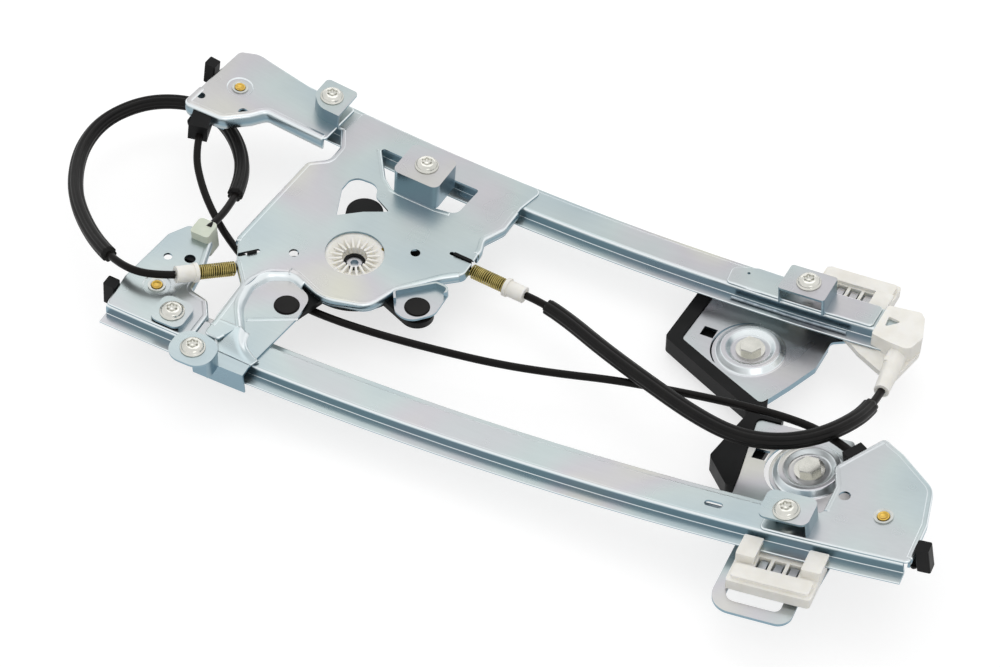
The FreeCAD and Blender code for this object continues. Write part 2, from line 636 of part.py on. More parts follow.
def drum_housing():
    """Moulded housing under the plate: drum chamber, two cable arms and two motor feet."""
    top = -SHEET - 0.05
    floor = -HOUSING_DEPTH
    body = cylinder(HOUSING_RADIUS, floor, top)
    left_arm = capsule(-18, -22, -50, -42, 8, -13.4, top)
    right_arm = capsule(20, 32, 57, 32, 8, -13.4, top)
    lobe = capsule(0, 0, -14, 36, 12, -12, top)
    left_foot = capsule(-4, -20, LEFT_BUSH[0], LEFT_BUSH[1], 10, -10.0, -6.2)
    right_foot = capsule(20, -4, RIGHT_BUSH[0], RIGHT_BUSH[1], 11, -11.0, -6.2)
    left_hook = capsule(-56, -37, -52.8, -33.2, 0.8, -6, 2.6)
    right_hook = capsule(55, 32, 66, 32, 1.0, -6, 2.4)
    body = joined(body, left_arm, right_arm, lobe, left_foot, right_foot, left_hook, right_hook)
    chamber = cylinder(DRUM_RADIUS + 0.8, floor + HOUSING_WALL, 0)
    body = on_drum(body.cut(chamber))
    for point, aim in ((LEFT_MOUTH, LEFT_AIM), (RIGHT_MOUTH, RIGHT_AIM)):
        body = body.cut(along(point, aim, 1.6, -40, 20))
        body = body.cut(along(point, aim, SPRING_RADIUS + 0.6, 0, 40))
    return body


def motor_bushes():
    """Rubber bushes on the motor feet."""
    bushes = []
    for place, top in ((LEFT_BUSH, -3.4), (RIGHT_BUSH, -2.4)):
        bush = cylinder(BUSH_RADIUS, -6.15, top - 0.5, place[0], place[1])
        bush = bush.fuse(cylinder(BUSH_RADIUS - 0.8, top - 0.6, top, place[0], place[1]))
        bushes.append(on_drum(bush).removeSplitter())
    return Part.makeCompound(bushes)


# Pulleys


def pulley(frame, centre):
    """Grooved end pulley on its rivet."""
    low = PULLEY_TOP - PULLEY_THICKNESS
    middle = (low + PULLEY_TOP) / 2
    body = cylinder(PULLEY_RADIUS, low, PULLEY_TOP)
    cutter = cylinder(PULLEY_RADIUS + 1, low + 0.4, PULLEY_TOP - 0.4)
    waist = cone(PULLEY_RADIUS, PULLEY_GROOVE_RADIUS - 0.9, low + 0.4, middle)
    waist = waist.fuse(cone(PULLEY_GROOVE_RADIUS - 0.9, PULLEY_RADIUS, middle, PULLEY_TOP - 0.4))
    body = body.cut(cutter.cut(waist))
    body = body.cut(Part.makeTorus(PULLEY_GROOVE_RADIUS, ROPE_RADIUS + 0.35, V(0, 0, middle), Z_AXIS))
    for index in range(5):
        opening = cylinder(2.6, low - 1, PULLEY_TOP + 1, 10.0, 0)
        opening.rotate(V(0, 0, 0), Z_AXIS, index * 72)
        body = body.cut(opening)
    body = body.cut(cylinder(RIVET_RADIUS + RUNNING_GAP, low - 1, PULLEY_TOP + 1))
    return placed(frame, frame.stand(body, centre[0], centre[1]))


def rivet(frame, centre, seat):
    """Hollow rivet that holds a pulley under its bracket, its head at the seat's height."""
    low = PULLEY_TOP - PULLEY_THICKNESS - 0.3
    body = cylinder(RIVET_RADIUS, low, seat + 0.02)
    body = body.fuse(cylinder(RIVET_HEAD_RADIUS, seat + 0.02, seat + 0.9))
    body = body.fuse(cylinder(RIVET_RADIUS + 2.5, low - 0.9, low))
    body = body.cut(cylinder(RIVET_BORE_RADIUS, low - 2, seat + 2))
    body = body.cut(cone(RIVET_BORE_RADIUS, RIVET_HEAD_RADIUS - 1.2, seat, seat + 0.92))
    return placed(frame, frame.stand(body, centre[0], centre[1]))


# Ropes


def local_point(frame, centre, x, y, above):
    """Point of a station's own plane, in the rail's frame."""
    point = FreeCAD.Rotation(Y_AXIS, frame.lean(centre[0])).multVec(V(x, y, above))
    return point + V(centre[0], centre[1], frame.height(centre[0]))


def pulley_arc(frame, centre, angles):
    """Rope arc round a pulley through three angles, in the rail's frame."""
    points = []
    for angle in angles:
        x = PULLEY_GROOVE_RADIUS * math.cos(math.radians(angle))
        y = PULLEY_GROOVE_RADIUS * math.sin(math.radians(angle))
        points.append(local_point(frame, centre, x, y, ROPE_DEPTH))
    return points


def rail_arc(frame, offset, start_x, end_x):
    """Rope along the rail's channel through three stations, in the rail's frame."""
    points = []
    for x in (start_x, (start_x + end_x) / 2, end_x):
        points.append(local_point(frame, (x, offset), 0, 0, ROPE_DEPTH))
    return points


def tube(edges, radius):
    """Round tube along tangent edges."""
    path = Part.Wire(edges)
    start = edges[0].valueAt(edges[0].FirstParameter)
    direction = edges[0].tangentAt(edges[0].FirstParameter)
    circle = Part.Wire(Part.makeCircle(radius, start, direction))
    body = path.makePipeShell([circle], True, False)
    length = sum(edge.Length for edge in edges)
    ratio = body.Volume / (math.pi * radius ** 2 * length)
    if abs(ratio - 1) > 0.01:
        print("tube volume ratio", ratio)
    return body


def front_rope(room=0.0):
    """Rope in the front rail: cable block, top pulley, end guide, and room round it."""
    centre = FRONT_TOP_PULLEY
    target = local_point(front, centre, -5, -37, ROPE_DEPTH)
    reach = math.hypot(5, 37)
    leave = math.degrees(math.atan2(-37, -5)) + 360 - math.degrees(math.acos(PULLEY_GROOVE_RADIUS / reach))
    wrap_points = pulley_arc(front, centre, (leave, (leave + 90) / 2, 90))
    run = rail_arc(front, FRONT_NEAR_Y + FRONT_ROPE_OFFSET, centre[0], 322)
    edges = [Part.LineSegment(target, wrap_points[0]).toShape(), Part.Arc(*wrap_points).toShape(),
             Part.Arc(*run).toShape()]
    return tube(edges, ROPE_RADIUS + room)


def rear_rope(room=0.0):
    """Rope in the rear rail from the grommet round both pulleys to the cable block, and room round it."""
    top = REAR_TOP_PULLEY
    low = REAR_BOTTOM_PULLEY
    first = (5.0, 46.0)
    last = (-24.0, 36.0)
    swing = math.degrees(math.acos(PULLEY_GROOVE_RADIUS / math.hypot(*first)))
    leave = math.degrees(math.atan2(first[1], first[0])) + swing
    start = local_point(rear, top, first[0], first[1], ROPE_DEPTH)
    wrap_top = pulley_arc(rear, top, (leave, (leave + 270) / 2, 270))
    run = rail_arc(rear, REAR_ROPE_OFFSET, top[0], low[0])
    swing = math.degrees(math.acos(PULLEY_GROOVE_RADIUS / math.hypot(*last)))
    leave = math.degrees(math.atan2(last[1], last[0])) - swing
    wrap_low = pulley_arc(rear, low, (-90, (leave - 90) / 2, leave))
    end = local_point(rear, low, last[0], last[1], ROPE_DEPTH)
    edges = [Part.LineSegment(start, wrap_top[0]).toShape(), Part.Arc(*wrap_top).toShape(),
             Part.Arc(*run).toShape(), Part.Arc(*wrap_low).toShape(),
             Part.LineSegment(wrap_low[2], end).toShape()]
    return tube(edges, ROPE_RADIUS + room)


# Cables


def route(name, points):
    """Straight runs joined by tangent arcs through a cable's points."""
    nodes = [V(*point) for point in points]
    edges = []
    last = nodes[0]
    smallest = 1e9
    for index in range(1, len(nodes) - 1):
        here = nodes[index]
        back = nodes[index - 1] - here
        ahead = nodes[index + 1] - here
        shorter = min(back.Length, ahead.Length)
        back.normalize()
        ahead.normalize()
        turn = math.pi - back.getAngle(ahead)
        reach = 0.45 * shorter
        radius = reach / math.tan(turn / 2)
        smallest = min(smallest, radius)
        start = here + back * reach
        end = here + ahead * reach
        inward = back + ahead
        inward.normalize()
        centre = here + inward * (radius / math.cos(turn / 2))
        edges.append(Part.LineSegment(last, start).toShape())
        edges.append(Part.Arc(start, centre - inward * radius, end).toShape())
        last = end
    edges.append(Part.LineSegment(last, nodes[-1]).toShape())
    length = sum(edge.Length for edge in edges)
    print("%s: length %.0f mm, smallest bend radius %.0f mm" % (name, length, smallest))
    return edges


# Mounting screws


def screw(length=SCREW_LENGTH):
    """Flanged screw with its head above the origin and its shank below."""
    body = cylinder(SCREW_SHANK_RADIUS, -length, 0.1)
    body = body.fuse(cone(SCREW_FLANGE_RADIUS, SCREW_FLANGE_RADIUS - 1.2, 0.02, SCREW_FLANGE_HEIGHT))
    body = body.fuse(cone(SCREW_HEAD_RADIUS, SCREW_HEAD_RADIUS - 0.8, SCREW_FLANGE_HEIGHT - 0.1,
                          SCREW_FLANGE_HEIGHT + SCREW_HEAD_HEIGHT))
    socket = cylinder(2.4, SCREW_FLANGE_HEIGHT + 1.4, SCREW_FLANGE_HEIGHT + SCREW_HEAD_HEIGHT + 1)
    return body.cut(socket)


def mounting_screws():
    """The six screws in their stand-offs."""
    seats = [(front, STANDOFF_A, STANDOFF_A_HEIGHT + 0.4), (front, STANDOFF_B, STANDOFF_B_HEIGHT),
             (rear, STANDOFF_C, STANDOFF_C_HEIGHT), (rear, STANDOFF_D, STANDOFF_D_HEIGHT),
             (front, STANDOFF_E, STANDOFF_E_HEIGHT), (rear, STANDOFF_F, STANDOFF_F_HEIGHT)]
    screws = []
    for frame, seat, height in seats:
        length = SCREW_LENGTH if height > 8 else 4.6
        screws.append(placed(frame, frame.stand(screw(length), seat[0], seat[1], height)))
    return Part.makeCompound(screws)


# End guide of the front rail


def front_end_guide(rail, rope):
    """Moulded guide on the front rail's lower end: cap, low wing and the cable's tapered tube."""
    cap = front.sheet(GUIDE_CAP, -12, 2.2)
    wing = front.sheet(GUIDE_WING, -13.5, -9.6)
    aim = V(*GUIDE_AIM)
    aim.normalize()
    mouth = Part.makeCone(4.7, 6.4, 36, V(*GUIDE_MOUTH), aim)
    rib = front.sheet([(330, 72, 0), (333, 72, 0), (334, 90, 0), (331, 90, 0)], -12, -2)
    body = joined(cap, wing, mouth, rib)
    window = prism([(321, 94.5, 1), (329, 102, 1), (320, 104, 1)], -40, 60)
    body = body.cut(window).cut(rail).cut(rope)
    solids = sorted(body.Solids, key=lambda solid: solid.Volume)
    return solids[-1]


# Carriages


def bolt_dome():
    """Drawn ring with the bolt's dish in its middle, about the bolt's axis."""
    sheet = CARRIAGE_SHEET
    crest = DOME_RISE
    profile = [(GLASS_BOLT_RADIUS + 0.3, DISH_RISE, 0), (BOLT_DISH_RADIUS, DISH_RISE, 2),
               (DOME_CREST_RADIUS - 1.5, crest, 1.5), (DOME_CREST_RADIUS + 1.5, crest, 1.5),
               (DOME_FOOT_RADIUS - 2.4, 0, 2), (DOME_FOOT_RADIUS, 0, 0), (DOME_FOOT_RADIUS, -sheet, 0),
               (DOME_FOOT_RADIUS - 3.6, -sheet, 1), (DOME_CREST_RADIUS + 0.6, crest - sheet, 0.8),
               (DOME_CREST_RADIUS - 0.8, crest - sheet, 0.6), (BOLT_DISH_RADIUS + 0.9, DISH_RISE - sheet, 1),
               (GLASS_BOLT_RADIUS + 0.3, DISH_RISE - sheet, 0)]
    face = Part.Face(rounded(profile))
    face.rotate(V(0, 0, 0), V(1, 0, 0), 90)
    return face.revolve(V(0, 0, 0), Z_AXIS, 360)


def carriage_plate(frame, outline, bolt, rail_side, tabs):
    """Pressed carriage plate: drawn bolt dome, turned-down edge, shoe tabs and a square hole."""
    low = CARRIAGE_TOP - CARRIAGE_SHEET
    room = cylinder(DOME_FOOT_RADIUS - 0.05, -60, 60, bolt[0], bolt[1])
    plate = frame.sheet(outline, low, CARRIAGE_TOP).cut(room)
    lip = prism_between(outline, CARRIAGE_SHEET, -60, 100)
    lip = lip.common(frame.band(low - 3.0, CARRIAGE_TOP)).common(rail_side)
    dome = frame.stand(bolt_dome(), bolt[0], bolt[1], CARRIAGE_TOP).common(prism(outline, -60, 100))
    body = plate.fuse([lip, dome] + list(tabs))
    window = box(-4.5, 4.5, -4, 4, -60, 100)
    window.translate(V(bolt[0] - 29, bolt[1] + 4, 0))
    return body.cut(window)


def shoe_windows(x0, flange_y, outward, margin):
    """Outlines of the three windows between a shoe's posts, drawn in by a margin."""
    pitch = (SHOE_LENGTH - 2 * SHOE_POST) / 3
    outlines = []
    for index in range(3):
        left = x0 + SHOE_POST + pitch * index + 1.0 + margin
        right = x0 + SHOE_POST + pitch * (index + 1) - 1.0 - margin
        inner = flange_y + (2.0 + margin) * outward
        outer = flange_y + (11.0 - margin) * outward
        near = min(inner, outer)
        far = max(inner, outer)
        outlines.append([(left, near, 0), (right, near, 0), (right, far, 0), (left, far, 0)])
    return outlines


def shoe_tabs(frame, x0, flange_y, outward):
    """Tabs of the carriage plate that stand up in the shoe's windows."""
    return [frame.sheet(outline, CARRIAGE_TOP - CARRIAGE_SHEET, SHOE_BASE_TOP - 1.5)
            for outline in shoe_windows(x0, flange_y, outward, 1.2)]


def prism_between(points, wall, low, high):
    """Upright wall standing just inside a rounded outline."""
    return prism(points, low, high).cut(prism_inset(points, wall, low - 1, high + 1))


def carriage_shoe(frame, x0, flange_y, outward):
    """Slider shoe with a post at each end that grips a flange, following the bow."""
    def slab(x_from, x_to, v_from, v_to, low, high, corner=0):
        """Curved slab between two stations and two distances outwards from the flange's edge."""
        near = min(flange_y + v_from * outward, flange_y + v_to * outward)
        far = max(flange_y + v_from * outward, flange_y + v_to * outward)
        outline = [(x_from, near, corner), (x_to, near, corner), (x_to, far, corner), (x_from, far, corner)]
        return frame.sheet(outline, low, high)
    end = x0 + SHOE_LENGTH
    bottom = CARRIAGE_TOP + 0.02
    body = slab(x0, end, -6.2, SHOE_REACH, bottom, SHOE_BASE_TOP, 2)
    wall = slab(x0 + 2, end - 2, 12, SHOE_REACH - 2, SHOE_BASE_TOP - 1, SHOE_BASE_TOP + 2.6, 2)
    left = slab(x0, x0 + SHOE_POST, -6.2, 9, bottom, SHOE_POST_TOP, 1)
    right = slab(end - SHOE_POST, end, -6.2, 9, bottom, SHOE_POST_TOP, 1)
    body = joined(body, wall, left, right)
    body = body.cut(slab(x0 - 5, end + 5, -20, SHOE_GAP, -RAIL_DEPTH - RAIL_SHEET - SHOE_GAP,
                         -RAIL_DEPTH + SHOE_GAP))
    body = body.cut(slab(x0 + SHOE_POST, end - SHOE_POST, -20, SHOE_GAP, -RAIL_DEPTH - RAIL_SHEET, 5))
    for outline in shoe_windows(x0, flange_y, outward, 0):
        body = body.cut(frame.sheet(outline, CARRIAGE_TOP - 1, 5))
    return body


def glass_bolt(frame, bolt):
    """Hexagon bolt that clamps the glass holder under a carriage."""
    seat = CARRIAGE_TOP + DISH_RISE
    body = cylinder(GLASS_BOLT_RADIUS, -GLASS_BOLT_LENGTH, 0.1)
    body = body.fuse(cylinder(GLASS_BOLT_HEAD + 1.0, 0.02, 1.4))
    corners = []
    for index in range(6):
        angle = math.radians(60 * index)
        corners.append((7.2 * math.cos(angle), 7.2 * math.sin(angle), 0.4))
    body = body.fuse(prism(corners, 1.3, 5.2))
    return frame.stand(body, bolt[0], bolt[1], seat)


def glass_nut(frame, bolt):
    """Square-shouldered nut under the glass holder."""
    top = CARRIAGE_TOP + DISH_RISE - GLASS_BOLT_LENGTH
    body = cylinder(9.5, top + 1.0, top + 3.0)
    corners = []
    for index in range(6):
        angle = math.radians(60 * index + 30)
        corners.append((7.5 * math.cos(angle), 7.5 * math.sin(angle), 0))
    body = body.fuse(prism(corners, top - 3.0, top + 1.1))
    body = body.cut(cylinder(GLASS_BOLT_RADIUS, top - 4, top + 4))
    return frame.stand(body, bolt[0], bolt[1])


def glass_holder(frame, outline, plate, bolt):
    """Plastic glass holder round a carriage's outer edge."""
    low = CARRIAGE_TOP - CARRIAGE_SHEET - HOLDER_THICKNESS
    body = frame.sheet(outline, low, CARRIAGE_TOP + 1.2)
    space = prism_inset(plate, -0.4, -60, 100)
    space = space.common(frame.band(CARRIAGE_TOP - CARRIAGE_SHEET - 3.3, 40))
    return body.cut(space)


def rope_anchor(frame, x, y):
    """Rope end's block on a carriage, under the rope in the rail's channel."""
    body = box(-6, 6, -4, 4, CARRIAGE_TOP + 0.02, ROPE_DEPTH - ROPE_RADIUS - 0.6)
    body = body.common(cylinder(6.6, -40, 10))
    return frame.stand(body, x, y)


def rear_loop():
    """Flat steel loop under the rear carriage's shoe."""
    low = CARRIAGE_TOP - 2 * CARRIAGE_SHEET
    high = CARRIAGE_TOP - CARRIAGE_SHEET
    outer = [(229, 4, 4), (229, -46, 14), (278, -46, 8), (278, 4, 4)]
    inner = [(237, -6, 3), (237, -38, 6), (270, -38, 4), (270, -6, 3)]
    return rear.sheet(outer, low, high).cut(rear.sheet(inner, low - 1, high + 1))


# Cable fittings


def spring(point, aim):
    """Cable take-up spring as its closed envelope."""
    body = along(point, aim, SPRING_RADIUS, 0, SPRING_LENGTH)
    return body.cut(along(point, aim, SPRING_RADIUS - 2.0, -1, SPRING_LENGTH + 1))


def ferrule(point, aim):
    """Cable end ferrule with a collar against its spring."""
    end = SPRING_LENGTH + FERRULE_LENGTH
    body = along(point, aim, FERRULE_RADIUS, SPRING_LENGTH, end)
    body = body.fuse(along(point, aim, FERRULE_RADIUS + 0.9, SPRING_LENGTH, SPRING_LENGTH + 2.5))
    body = body.fuse(along(point, aim, SPRING_RADIUS - 2.3, SPRING_LENGTH - 5, SPRING_LENGTH))
    return body.cut(along(point, aim, 1.6, 0, end + 1))


def bare_rope(point, aim):
    """Bare rope inside a spring, from the housing to the ferrule."""
    return along(point, aim, ROPE_RADIUS, -20, SPRING_LENGTH + 4)


def guard(frame, outline, clip, block, turn):
    """Pulley guard: bar under the pulley, hook over the bracket's edge and cable block."""
    low = PULLEY_TOP - PULLEY_THICKNESS - 3.2
    bar = frame.sheet(outline, low - 1.8, low)
    hook = prism([(-4, -4, 1), (4, -4, 1), (4, 4, 1), (-4, 4, 1)], low - 1.8, 4.0)
    hook = frame.stand(hook, clip[0], clip[1])
    body = bar.fuse(hook)
    piece = box(-8, 8, -6.5, 6.5, low - 1.8, -0.1)
    piece.rotate(V(0, 0, 0), Z_AXIS, turn)
    body = body.fuse(frame.stand(piece, block[0], block[1]))
    return body


def rear_grommet():
    """Cable block in the rear top bracket's far corner."""
    body = rear.sheet([(-172, 74, 2), (-159, 74, 2), (-159, 88, 3), (-172, 88, 3)], -9.5, 7.5)
    return placed(rear, body)


def main():
    """Build and write every node."""
    rail_front = front_rail()
    rail_rear = placed(rear, rear_rail())
    write("front_rail", rail_front)
    write("rear_rail", rail_rear)
    rope_front = front_rope()
    rope_rear = placed(rear, rear_rope())
    ropes_room = placed(rear, rear_rope(0.6))
    brackets = {"front_top": front_top_bracket().cut(front_rope(0.6)),
                "rear_top": placed(rear, rear_top_bracket()),
                "rear_bottom": placed(rear, rear_bottom_bracket())}
    sunk = SHEET - RIVET_DISH_SINK
    for name, frame, centre, seat in (("front_top", front, FRONT_TOP_PULLEY, sunk),
                                      ("rear_top", rear, REAR_TOP_PULLEY, sunk),
                                      ("rear_bottom", rear, REAR_BOTTOM_PULLEY, SHEET)):
        fastener = rivet(frame, centre, seat)
        brackets[name] = brackets[name].cut(fastener)
        write(name + "_bracket", brackets[name])
        write(name + "_pulley", pulley(frame, centre))
        write(name + "_rivet", fastener)
    write("front_lower_bracket", front_lower_bracket())
    plate = drum_plate()
    write("drum_plate", plate)
    write("drum_housing", drum_housing().cut(plate))
    write("cable_drum", cable_drum())
    write("drum_hub", drum_hub())
    write("drum_nipple", drum_nipple())
    write("drum_pivot", drum_pivot())
    write("motor_bushes", motor_bushes())
    write("front_rope", rope_front)
    write("rear_rope", rope_rear)
    write("mounting_screws", mounting_screws())
    route_a = route("cable a", CABLE_A)
    route_b = route("cable b", CABLE_B)
    route_c = route("cable c", CABLE_C)
    cable_a = tube(route_a, CABLE_RADIUS)
    cable_b = tube(route_b, CABLE_RADIUS)
    cable_c = tube(route_c, CABLE_RADIUS)
    write("cable_a", cable_a)
    write("cable_b", cable_b)
    write("cable_c", cable_c)
    write("sleeve_a", tube(route_a[6:30], SLEEVE_RADIUS).cut(cable_a))
    write("sleeve_c", tube(route_c[2:19], SLEEVE_RADIUS).cut(cable_c))
    write("front_end_guide", front_end_guide(rail_front, rope_front).cut(cable_c))
    inboard_front = prism([(190, 10, 0), (300, 10, 0), (300, 84, 0), (190, 84, 0)], -60, 100)
    inboard_rear = prism([(190, 28, 0), (300, 28, 0), (300, 110, 0), (190, 110, 0)], -60, 100)
    write("front_carriage_plate", carriage_plate(front, FRONT_PLATE, FRONT_BOLT, inboard_front,
                                                 shoe_tabs(front, *FRONT_SHOE)))
    write("front_glass_bolt", glass_bolt(front, FRONT_BOLT))
    write("front_glass_nut", glass_nut(front, FRONT_BOLT))
    write("front_glass_holder", glass_holder(front, FRONT_HOLDER, FRONT_PLATE, FRONT_BOLT))
    write("front_shoe", carriage_shoe(front, *FRONT_SHOE))
    write("front_rope_anchor", rope_anchor(front, 262, FRONT_NEAR_Y + FRONT_ROPE_OFFSET))
    write("rear_carriage_plate", placed(rear, carriage_plate(rear, REAR_PLATE, REAR_BOLT, inboard_rear,
                                                             shoe_tabs(rear, *REAR_SHOE))))
    write("rear_glass_bolt", placed(rear, glass_bolt(rear, REAR_BOLT)))
    write("rear_glass_nut", placed(rear, glass_nut(rear, REAR_BOLT)))
    write("rear_glass_holder", placed(rear, glass_holder(rear, REAR_HOLDER, REAR_PLATE, REAR_BOLT)))
    write("rear_shoe", placed(rear, carriage_shoe(rear, *REAR_SHOE)))
    write("rear_rope_anchor", placed(rear, rope_anchor(rear, 262, REAR_ROPE_OFFSET)))
    write("rear_loop", placed(rear, rear_loop()))
    write("left_spring", spring(LEFT_MOUTH, LEFT_AIM))
    write("right_spring", spring(RIGHT_MOUTH, RIGHT_AIM))
    write("left_ferrule", ferrule(LEFT_MOUTH, LEFT_AIM).cut(cable_a))
    write("right_ferrule", ferrule(RIGHT_MOUTH, RIGHT_AIM).cut(cable_c))
    write("left_rope", bare_rope(LEFT_MOUTH, LEFT_AIM))
    write("right_rope", bare_rope(RIGHT_MOUTH, RIGHT_AIM))
    front_guard = guard(front, [(-163, 92, 2), (-151, 92, 2), (-146, 46, 3), (-158, 46, 3)], (-164.5, 90),
                        (-145, 46), -70)
    rear_top = placed(rear, guard(rear, [(-194, 10, 2), (-160, 20, 3), (-158, 70, 3), (-172, 70, 3),
                                         (-194, 22, 2)], (-194, 15), (-166, 66), 90))
    rear_bottom = placed(rear, guard(rear, [(332, 6, 2), (332, 18, 2), (284, 76, 3), (272, 66, 3)],
                                     (333.5, 12), (276, 72), -36))
    block = rear_grommet().cut(brackets["rear_top"]).cut(ropes_room).cut(cable_a)
    write("front_pulley_guard", front_guard.cut(brackets["front_top"]).cut(cable_b).cut(front_rope(0.3)))
    write("rear_top_pulley_guard", rear_top.cut(brackets["rear_top"]).cut(ropes_room).cut(block))
    write("rear_bottom_pulley_guard", rear_bottom.cut(brackets["rear_bottom"]).cut(cable_b).cut(ropes_room))
    write("rear_grommet", block)


main()
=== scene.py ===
"""Cable window regulator: finishes, cords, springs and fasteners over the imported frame."""
import logging
import math
from dataclasses import dataclass
from typing import Any, ClassVar

import bpy
import numpy as np
from mathutils import Matrix, Vector


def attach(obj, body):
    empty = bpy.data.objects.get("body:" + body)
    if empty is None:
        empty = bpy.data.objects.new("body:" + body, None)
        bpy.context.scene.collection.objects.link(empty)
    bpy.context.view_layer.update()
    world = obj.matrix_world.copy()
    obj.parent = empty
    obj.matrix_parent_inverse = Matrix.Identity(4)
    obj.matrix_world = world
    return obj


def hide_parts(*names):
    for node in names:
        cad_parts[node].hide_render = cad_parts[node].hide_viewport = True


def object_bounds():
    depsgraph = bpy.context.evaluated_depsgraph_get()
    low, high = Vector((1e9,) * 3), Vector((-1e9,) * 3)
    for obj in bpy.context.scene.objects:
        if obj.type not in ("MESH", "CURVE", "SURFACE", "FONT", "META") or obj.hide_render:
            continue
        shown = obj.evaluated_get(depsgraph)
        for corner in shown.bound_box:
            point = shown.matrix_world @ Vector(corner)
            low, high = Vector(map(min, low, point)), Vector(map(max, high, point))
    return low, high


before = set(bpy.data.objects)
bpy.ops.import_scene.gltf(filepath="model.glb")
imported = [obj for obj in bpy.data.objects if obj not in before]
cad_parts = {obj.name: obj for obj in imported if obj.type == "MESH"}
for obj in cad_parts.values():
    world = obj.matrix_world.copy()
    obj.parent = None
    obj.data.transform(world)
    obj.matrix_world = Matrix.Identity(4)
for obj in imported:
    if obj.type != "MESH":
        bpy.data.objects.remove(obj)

logging.basicConfig(level=logging.INFO, format="%(message)s")
log = logging.getLogger("regulator")

CAD_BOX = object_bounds()
MM = 0.001              # metres in a millimetre; lengths are in millimetres where nothing else is said
BOW_RADIUS = 1642.0     # radius of the rails' bow
FRONT_LOW_X = 134.0     # station where the front rail's bow is lowest
SHEET = 1.5             # thickness of the pressed sheet
TIP = 1e-4              # radius of the ring that closes a turned shape
SOFT_EDGE = 0.45        # width of the rounding on moulded edges
SOFT_EDGE_FROM = 40     # degrees between two faces from which their edge is rounded
ARC_POINTS = 9          # points on each rounded corner of a rim
RIM_STEP = 1.0          # spacing of a rim's stations
WHITE = (1.0, 1.0, 1.0, 1.0)
FROM_LOW, FROM_HIGH, TO_LOW, TO_HIGH = 1, 2, 3, 4   # inputs of a Map Range node
MIX_SHARE, MIX_A, MIX_B, MIX_OUT = 0, 6, 7, 2       # colour sockets of a Mix node


def linear(code: str) -> tuple[float, float, float, float]:
    """Turn an sRGB hex colour into linear light: a straight line near black, a power of 2.4 above it.

    Args:
        code: Six hex digits.

    Returns:
        Red, green, blue and alpha in linear light.
    """
    values = []
    for start in (0, 2, 4):
        part = int(code[start:start + 2], 16) / 255
        values.append(part / 12.92 if part <= 0.04045 else ((part + 0.055) / 1.055) ** 2.4)
    return (values[0], values[1], values[2], 1.0)


def add(tree: bpy.types.NodeTree, kind: str, settings: dict[str | int, Any] | None = None,
        links: dict[str | int, bpy.types.NodeSocket] | None = None) -> bpy.types.Node:
    """Add a node with its settings and its incoming links.

    Args:
        tree: Node tree that takes the node.
        kind: Node type.
        settings: Attribute names, or input names or numbers, with their values.
        links: Input names or numbers with the sockets that feed them.

    Returns:
        The new node.
    """
    node = tree.nodes.new(kind)
    for key, value in (settings or {}).items():
        if isinstance(key, int) or key in node.inputs:
            node.inputs[key].default_value = value
        else:
            setattr(node, key, value)
    for key, source in (links or {}).items():
        tree.links.new(source, node.inputs[key])
    return node


def ramp(tree: bpy.types.NodeTree, source: bpy.types.NodeSocket,
         stops: list[tuple[float, str]]) -> bpy.types.Node:
    """Colour ramp over a value.

    Args:
        tree: Node tree that takes the ramp.
        source: Socket with the value.
        stops: Positions with their sRGB hex colours.

    Returns:
        The ramp node.
    """
    node = add(tree, "ShaderNodeValToRGB", links={"Fac": source})
    elements = node.color_ramp.elements
    while len(elements) < len(stops):
        elements.new(0.5)
    for element, (position, code) in zip(elements, stops):
        element.position = position
        element.color = linear(code)
    return node


def seen_bare(tree: bpy.types.NodeTree) -> bpy.types.NodeSocket:
    """One for a ray from the camera, from gloss or through a clear body, and zero for plain light.

    Args:
        tree: Node tree of the floor or the world.

    Returns:
        Socket with the clamped sum of the three ray flags.
    """
    clamped = {"operation": "ADD", "use_clamp": True}
    path = add(tree, "ShaderNodeLightPath")
    seen = add(tree, "ShaderNodeMath", clamped,
               {0: path.outputs["Is Camera Ray"], 1: path.outputs["Is Glossy Ray"]})
    seen = add(tree, "ShaderNodeMath", clamped, {0: seen.outputs[0], 1: path.outputs["Is Transmission Ray"]})
    return seen.outputs[0]


